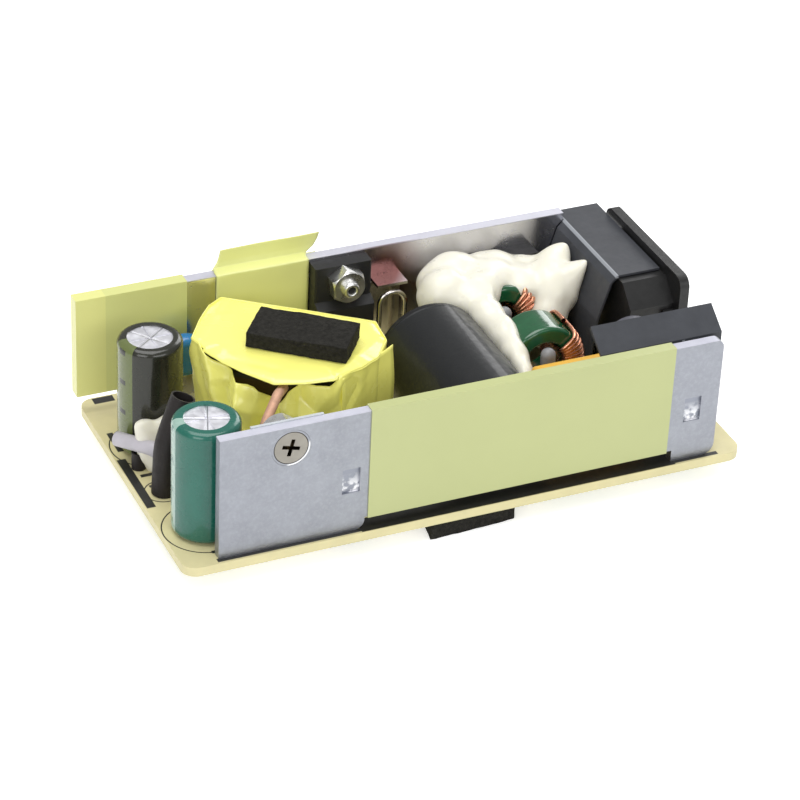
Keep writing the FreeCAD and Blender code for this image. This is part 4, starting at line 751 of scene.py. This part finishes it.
def wrap_lid(sheet, rim):
    """The top sheet, a little larger and lower where it hangs over the slit."""
    rings = 26
    middle_v = -1
    previous = None
    for ring in range(rings):
        share = 1 - ring / rings
        line = []
        for u, v in rim:
            x, y = u * share, middle_v + (v - middle_v) * share
            torn = 1.0 if along(LIP, u) > 0.5 and v < -3 else 0.0
            wider = 1 + 0.02 * torn
            place = Vector((x, y, 40)) * MM
            wave = (scatter(place, 170, 9.0) * 0.16 + scatter(place, 480, 2.0) * 0.05) * (1 - share ** 8)
            hang = -0.35 * share ** 12 - 0.35 * torn * share ** 6
            height = WRAP_TOP + wave + folded(CREASES, x, y) + hang
            line.append(sheet.verts.new(wrap_point(x * wider, y * wider, height)))
        if previous:
            ring_faces(sheet, previous, line)
        previous = line
    centre = sheet.verts.new(wrap_point(0, middle_v, WRAP_TOP))
    for i in range(len(previous)):
        sheet.faces.new((previous[i], previous[(i + 1) % len(previous)], centre))


def wrap_flap(sheet):
    """A loose end on the right, its upper corner pointed and standing away from the top."""
    columns, rows = 14, 26
    bottom = 1.6
    grid = []
    for row in range(rows + 1):
        line = []
        for column in range(columns + 1):
            across, height = column / columns, row / rows
            u = 11.2 + 5.0 * across + 0.2 * math.sin(height * 5)
            v = -8.9 + 11.4 * across
            top = 18.7 + 0.75 * across ** 2
            z = bottom + (top - bottom) * height
            outward = 0.25 + 0.6 * across ** 2 + 0.25 * math.sin(height * 7 + across * 3) * across
            line.append(sheet.verts.new(wrap_point(u + outward * 0.85, v - outward * 0.4, z)))
        grid.append(line)
    grid_faces(sheet, grid)


def film_piece(name, sheet, node, offset):
    """A thin sheet as a piece of tape, in place of the node's own solid."""
    item = piece(name, new_mesh(name, sheet), LOOKS[node], node)
    thick = item.modifiers.new("film", "SOLIDIFY")
    thick.thickness = 0.12 * MM
    thick.offset = offset
    return smoothed(applied(item))


def transformer_wrap():
    """Crumpled tape: a wall with a torn lip at the front, and a top sheet that hangs over it."""
    rim = around(WRAP_OUTLINE, 300)
    sheet = bmesh.new()
    wrap_wall(sheet, rim)
    wrap_lid(sheet, rim)
    bmesh.ops.remove_doubles(sheet, verts=sheet.verts, dist=0.00002)
    bmesh.ops.recalc_face_normals(sheet, faces=sheet.faces)
    wrap_flap(sheet)
    film_piece("transformer_wrap", sheet, "transformer_tape", -1)


def coil(name, at, turns, first, last, wire, slant):
    """Wire wound round a choke's core from one angle to another, as one long line."""
    steps = 32
    clear = wire + 0.12
    middle_radius = (CHOKE_RIM + CHOKE_HOLE) / 2
    reach, depth = (CHOKE_RIM - CHOKE_HOLE) / 2 + clear, CHOKE_HALF + clear
    curve = bpy.data.curves.new(name, "CURVE")
    curve.dimensions = "3D"
    curve.bevel_depth = wire * MM
    curve.bevel_resolution = 3
    line = curve.splines.new("POLY")
    line.points.add(turns * steps)
    for index, point in enumerate(line.points):
        phase = 2 * math.pi * index / steps
        c, s = math.cos(phase), math.sin(phase)
        radial = middle_radius + reach * math.copysign(abs(c) ** 0.45, c)
        axial = at[1] + CHOKE_HALF + depth * math.copysign(abs(s) ** 0.45, s)
        angle = math.radians(first + (last - first) * index / (turns * steps) + slant * c)
        spot = board(at[0] + radial * math.cos(angle), axial, CHOKE_AXIS_Z + radial * math.sin(angle))
        point.co = (*spot, 1)
    holder = bpy.data.objects.new(name + "_line", curve)
    bpy.context.scene.collection.objects.link(holder)
    mesh = evaluated(holder)
    bpy.data.objects.remove(holder)
    mesh.name = name
    return mesh


def coils():
    """Each coil: name, choke, turns, first and last angle, wire radius, slant of a turn."""
    windings = [
        ("front_coil", "front", FRONT_CHOKE, 10, 46, -32, 0.42, 2.5),
        ("rear_coil", "rear", REAR_CHOKE, 8, 60, -16, 0.45, 3.0),
        ("rear_coil_left", "rear", REAR_CHOKE, 8, 120, 196, 0.45, 3.0),
    ]
    for name, choke, at, turns, first, last, wire, slant in windings:
        node = f"choke_{choke}_winding"
        piece(name, coil(name, at, turns, first, last, wire, slant), LOOKS["choke_front_winding"], node)


def lathe(name, profile, centre, material, node):
    """A turned piece about a line along the board's depth. Profile: radius, then place on that line."""
    turned = bmesh.new()
    points = [turned.verts.new(centre + Vector((radius, at, 0)) * MM) for radius, at in profile]
    edges = [turned.edges.new(pair) for pair in zip(points, points[1:])]
    bmesh.ops.spin(turned, geom=points + edges, cent=centre, axis=(0, 1, 0), angle=2 * math.pi, steps=48)
    bmesh.ops.remove_doubles(turned, verts=turned.verts, dist=0.000005)
    bmesh.ops.recalc_face_normals(turned, faces=turned.faces)
    return piece(name, new_mesh(name, turned), material, node, replaces=False)


def screw_end():
    """The hollow end of the rear screw, which stands out of its nut, with a black disc as painted shade
    inside the hollow.
    """
    centre = middle("screw_rear")
    centre.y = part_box("screw_rear")[0].y
    ring = [(0.72, -0.02), (0.72, -0.42), (0.86, -0.55), (1.15, -0.55), (1.36, -0.38), (1.40, 0.3)]
    lathe("screw_end", ring, centre, LOOKS["screw_rear"], "screw_rear")
    # A black disc as painted shade inside the hollow end
    lathe("screw_hollow_shade", [(0.0, -0.05), (0.74, -0.05)], centre, LOOKS["power_transistor"], "screw_rear")


def film_case():
    """The film capacitor, more rounded than its solid and slightly higher."""
    low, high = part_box("film_capacitor")
    high = high + Vector((0, 0, 0.9 * MM))
    case = bmesh.new()
    bmesh.ops.create_cube(case, size=1.0)
    for vertex in case.verts:
        vertex.co = Vector([a + (b - a) * (c + 0.5) for a, b, c in zip(low, high, vertex.co)])
    bmesh.ops.bevel(case, geom=case.edges[:], offset=0.9 * MM, segments=5, profile=0.5, affect="EDGES")
    piece("film_case", new_mesh("film_case", case), LOOKS["film_capacitor"], "film_capacitor")


def foam_block(name, node, low, high, turn, centre, skew=0.0, sink=0.0):
    """A cut block of foam with slightly uneven faces. Its lower face stays above the sink."""
    block = bmesh.new()
    bmesh.ops.create_cube(block, size=1.0)
    for vertex in block.verts:
        vertex.co = Vector([(a + b) / 2 + (b - a) * c for a, b, c in zip(low, high, vertex.co)])
        if vertex.co.x < 0 and vertex.co.y > 0:
            vertex.co.x += skew
    bmesh.ops.subdivide_edges(block, edges=block.edges, cuts=14, use_grid_fill=True)
    spin = Matrix.Rotation(math.radians(turn), 3, "Z")
    for vertex in block.verts:
        rough = Vector([scatter(vertex.co * MM, 700, shift) for shift in (1.0, 4.0, 8.0)]) * 0.12
        slow = Vector([scatter(vertex.co * MM, 160, shift) for shift in (2.0, 5.0, 7.0)]) * 0.192
        point = spin @ (vertex.co + rough + slow)
        point.z = max(point.z, low[2] - sink)
        vertex.co = board(point.x + centre[0], point.y + centre[1], point.z)
    item = piece(name, new_mesh(name, block), LOOKS[node], node, smooth=False)
    bevel = item.modifiers.new("soft", "BEVEL")
    bevel.width = 0.08 * MM
    bevel.limit_method = "ANGLE"
    applied(item)


def foam():
    foam_block("foam_on_transformer", "transformer_pad", (-8.25, -4.25, 19.6), (8.25, 4.25, 22.4), -38.0,
               (29.7, 26.5), sink=0.1)
    foam_block("foam_under_board", "foam_pad", (-7.6, -4.0, -4.6), (7.6, 4.0, -1.6), 3.3,
               (48.8, 4.6), skew=1.5)


# Path of the rear heatsink's middle tape: across the board, height, shift along the board
FLAP_PATH = [
    (46.86, 4.0, 0.0), (46.86, 12.0, 0.0), (46.86, 21.0, 0.0), (46.9, 21.85, 0.0), (48.1, 21.98, 0.0),
    (49.25, 22.0, 0.4), (49.5, 22.9, 1.5), (49.62, 24.0, 2.1), (49.7, 25.0, 2.4),
]
FLAP_START, FLAP_WIDE = 22.7, 16.3
FLAP_FREE = 0.62
FLAP_BACK_Y = 49.2
FLAP_BACK = [(22.75, 3.8), (41.1, 3.8), (41.1, 21.8), (22.75, 21.8)]


def loose_flap():
    """The middle tape of the rear heatsink, its free end curled up behind the sheet."""
    sheet = bmesh.new()
    columns, rows = 36, 40
    back = [board(x, FLAP_BACK_Y, z) for x, z in FLAP_BACK]
    grid = []
    for row in range(rows + 1):
        at = row / rows * (len(FLAP_PATH) - 1)
        index = min(int(at), len(FLAP_PATH) - 2)
        pair = zip(FLAP_PATH[index], FLAP_PATH[index + 1])
        y, z, shift = (a + (b - a) * (at - index) for a, b in pair)
        free = max(0.0, (row / rows - FLAP_FREE) / (1 - FLAP_FREE))
        line = []
        for column in range(columns + 1):
            across = column / columns
            x = FLAP_START + FLAP_WIDE * across + shift * (0.7 + 0.5 * across)
            wave = math.sin(across * 5.0) * 0.12 * free + scatter(Vector((x, z, 0)) * MM, 260) * 0.10
            lift = free * (0.25 * across - 0.1)
            line.append(sheet.verts.new(board(x, y + wave, z + lift)))
        grid.append(line)
    grid_faces(sheet, grid)
    sheet.faces.new([sheet.verts.new(corner) for corner in back])
    film_piece("loose_tape", sheet, "tape_rear_middle", 0)


# Stage
def area_light(name, place, target, size, power):
    light = bpy.data.lights.new(name, "AREA")
    light.shape = "RECTANGLE"
    light.size, light.size_y = size
    light.energy = power
    item = bpy.data.objects.new(name, light)
    item.location = place
    item.rotation_euler = (Vector(target) - Vector(place)).to_track_quat("-Z", "Y").to_euler()
    bpy.context.scene.collection.objects.link(item)


def glow_level(tree, seen, otherwise):
    """A strength that differs between what the camera sees straight and all other rays."""
    path = tree.nodes.new("ShaderNodeLightPath")
    level = tree.nodes.new("ShaderNodeMapRange")
    level.inputs["To Min"].default_value = otherwise
    level.inputs["To Max"].default_value = seen
    tree.links.new(path.outputs["Is Camera Ray"], level.inputs["Value"])
    return level.outputs["Result"]


def floor_look():
    """White floor that keeps the shadow: a diffuse surface with an even glow added."""
    look = bpy.data.materials.new("floor_white")
    look.use_nodes = True
    tree = look.node_tree
    tree.nodes.clear()
    diffuse = tree.nodes.new("ShaderNodeBsdfDiffuse")
    diffuse.inputs["Color"].default_value = (0.8, 0.8, 0.8, 1)
    glow = tree.nodes.new("ShaderNodeEmission")
    tree.links.new(glow_level(tree, 0.55, 0.275), glow.inputs["Strength"])
    both = tree.nodes.new("ShaderNodeAddShader")
    out = tree.nodes.new("ShaderNodeOutputMaterial")
    tree.links.new(diffuse.outputs[0], both.inputs[0])
    tree.links.new(glow.outputs[0], both.inputs[1])
    tree.links.new(both.outputs[0], out.inputs["Surface"])
    return look


def floor():
    half = 3.0
    corners = [(-half, -half, 0), (half, -half, 0), (half, half, 0), (-half, half, 0)]
    mesh = bpy.data.meshes.new("floor")
    mesh.from_pydata(corners, [], [(0, 1, 2, 3)])
    mesh.materials.append(floor_look())
    item = bpy.data.objects.new("floor", mesh)
    bpy.context.scene.collection.objects.link(item)


def studio():
    world = bpy.data.worlds.new("studio")
    bpy.context.scene.world = world
    world.use_nodes = True
    background = world.node_tree.nodes["Background"]
    world.node_tree.links.new(glow_level(world.node_tree, 1.0, 0.4), background.inputs["Strength"])
    background.inputs["Color"].default_value = (1, 1, 1, 1)
    area_light("overhead", (-0.05, 0.05, 0.75), (0, 0, 0), (0.7, 0.6), 4.4)
    area_light("left_front", (-0.65, -0.55, 0.45), (0, 0, 0.01), (0.5, 0.5), 2.4)
    area_light("front", (0.15, -0.75, 0.4), (0, 0, 0.01), (0.6, 0.3), 1.8)
    area_light("right_back", (0.6, 0.5, 0.4), (0, 0, 0.01), (0.4, 0.5), 2.0)
    bpy.context.scene.view_settings.view_transform = "Standard"


# Camera of the photograph: azimuth, elevation and roll in degrees, then its place
CAMERA_TURN = (-25.13, 32.58, 2.74)
CAMERA_PLACE = (-188.61, -399.85, 292.18)
CAMERA_LENS = 144.05


def camera():
    azimuth, elevation, roll = (math.radians(angle) for angle in CAMERA_TURN)
    right = Vector((math.cos(azimuth), math.sin(azimuth), 0))
    back = Vector((math.sin(azimuth) * math.cos(elevation), -math.cos(azimuth) * math.cos(elevation),
                   math.sin(elevation)))
    up = back.cross(right)
    turned_right = right * math.cos(roll) + up * math.sin(roll)
    turned_up = up * math.cos(roll) - right * math.sin(roll)
    data = bpy.data.cameras.new("camera")
    data.sensor_width = 36.0
    data.lens = CAMERA_LENS
    data.clip_start = 0.01
    item = bpy.data.objects.new("camera", data)
    basis = Matrix((turned_right, turned_up, back)).transposed().to_4x4()
    item.matrix_world = Matrix.Translation(Vector(CAMERA_PLACE) * MM) @ basis
    bpy.context.scene.collection.objects.link(item)
    bpy.context.scene.camera = item


dress_plastics()
dress_metals()
dress_soft_pieces()
silicone()
transformer_wrap()
foam()
loose_flap()
coils()
screw_end()
film_case()
floor()
studio()
camera()
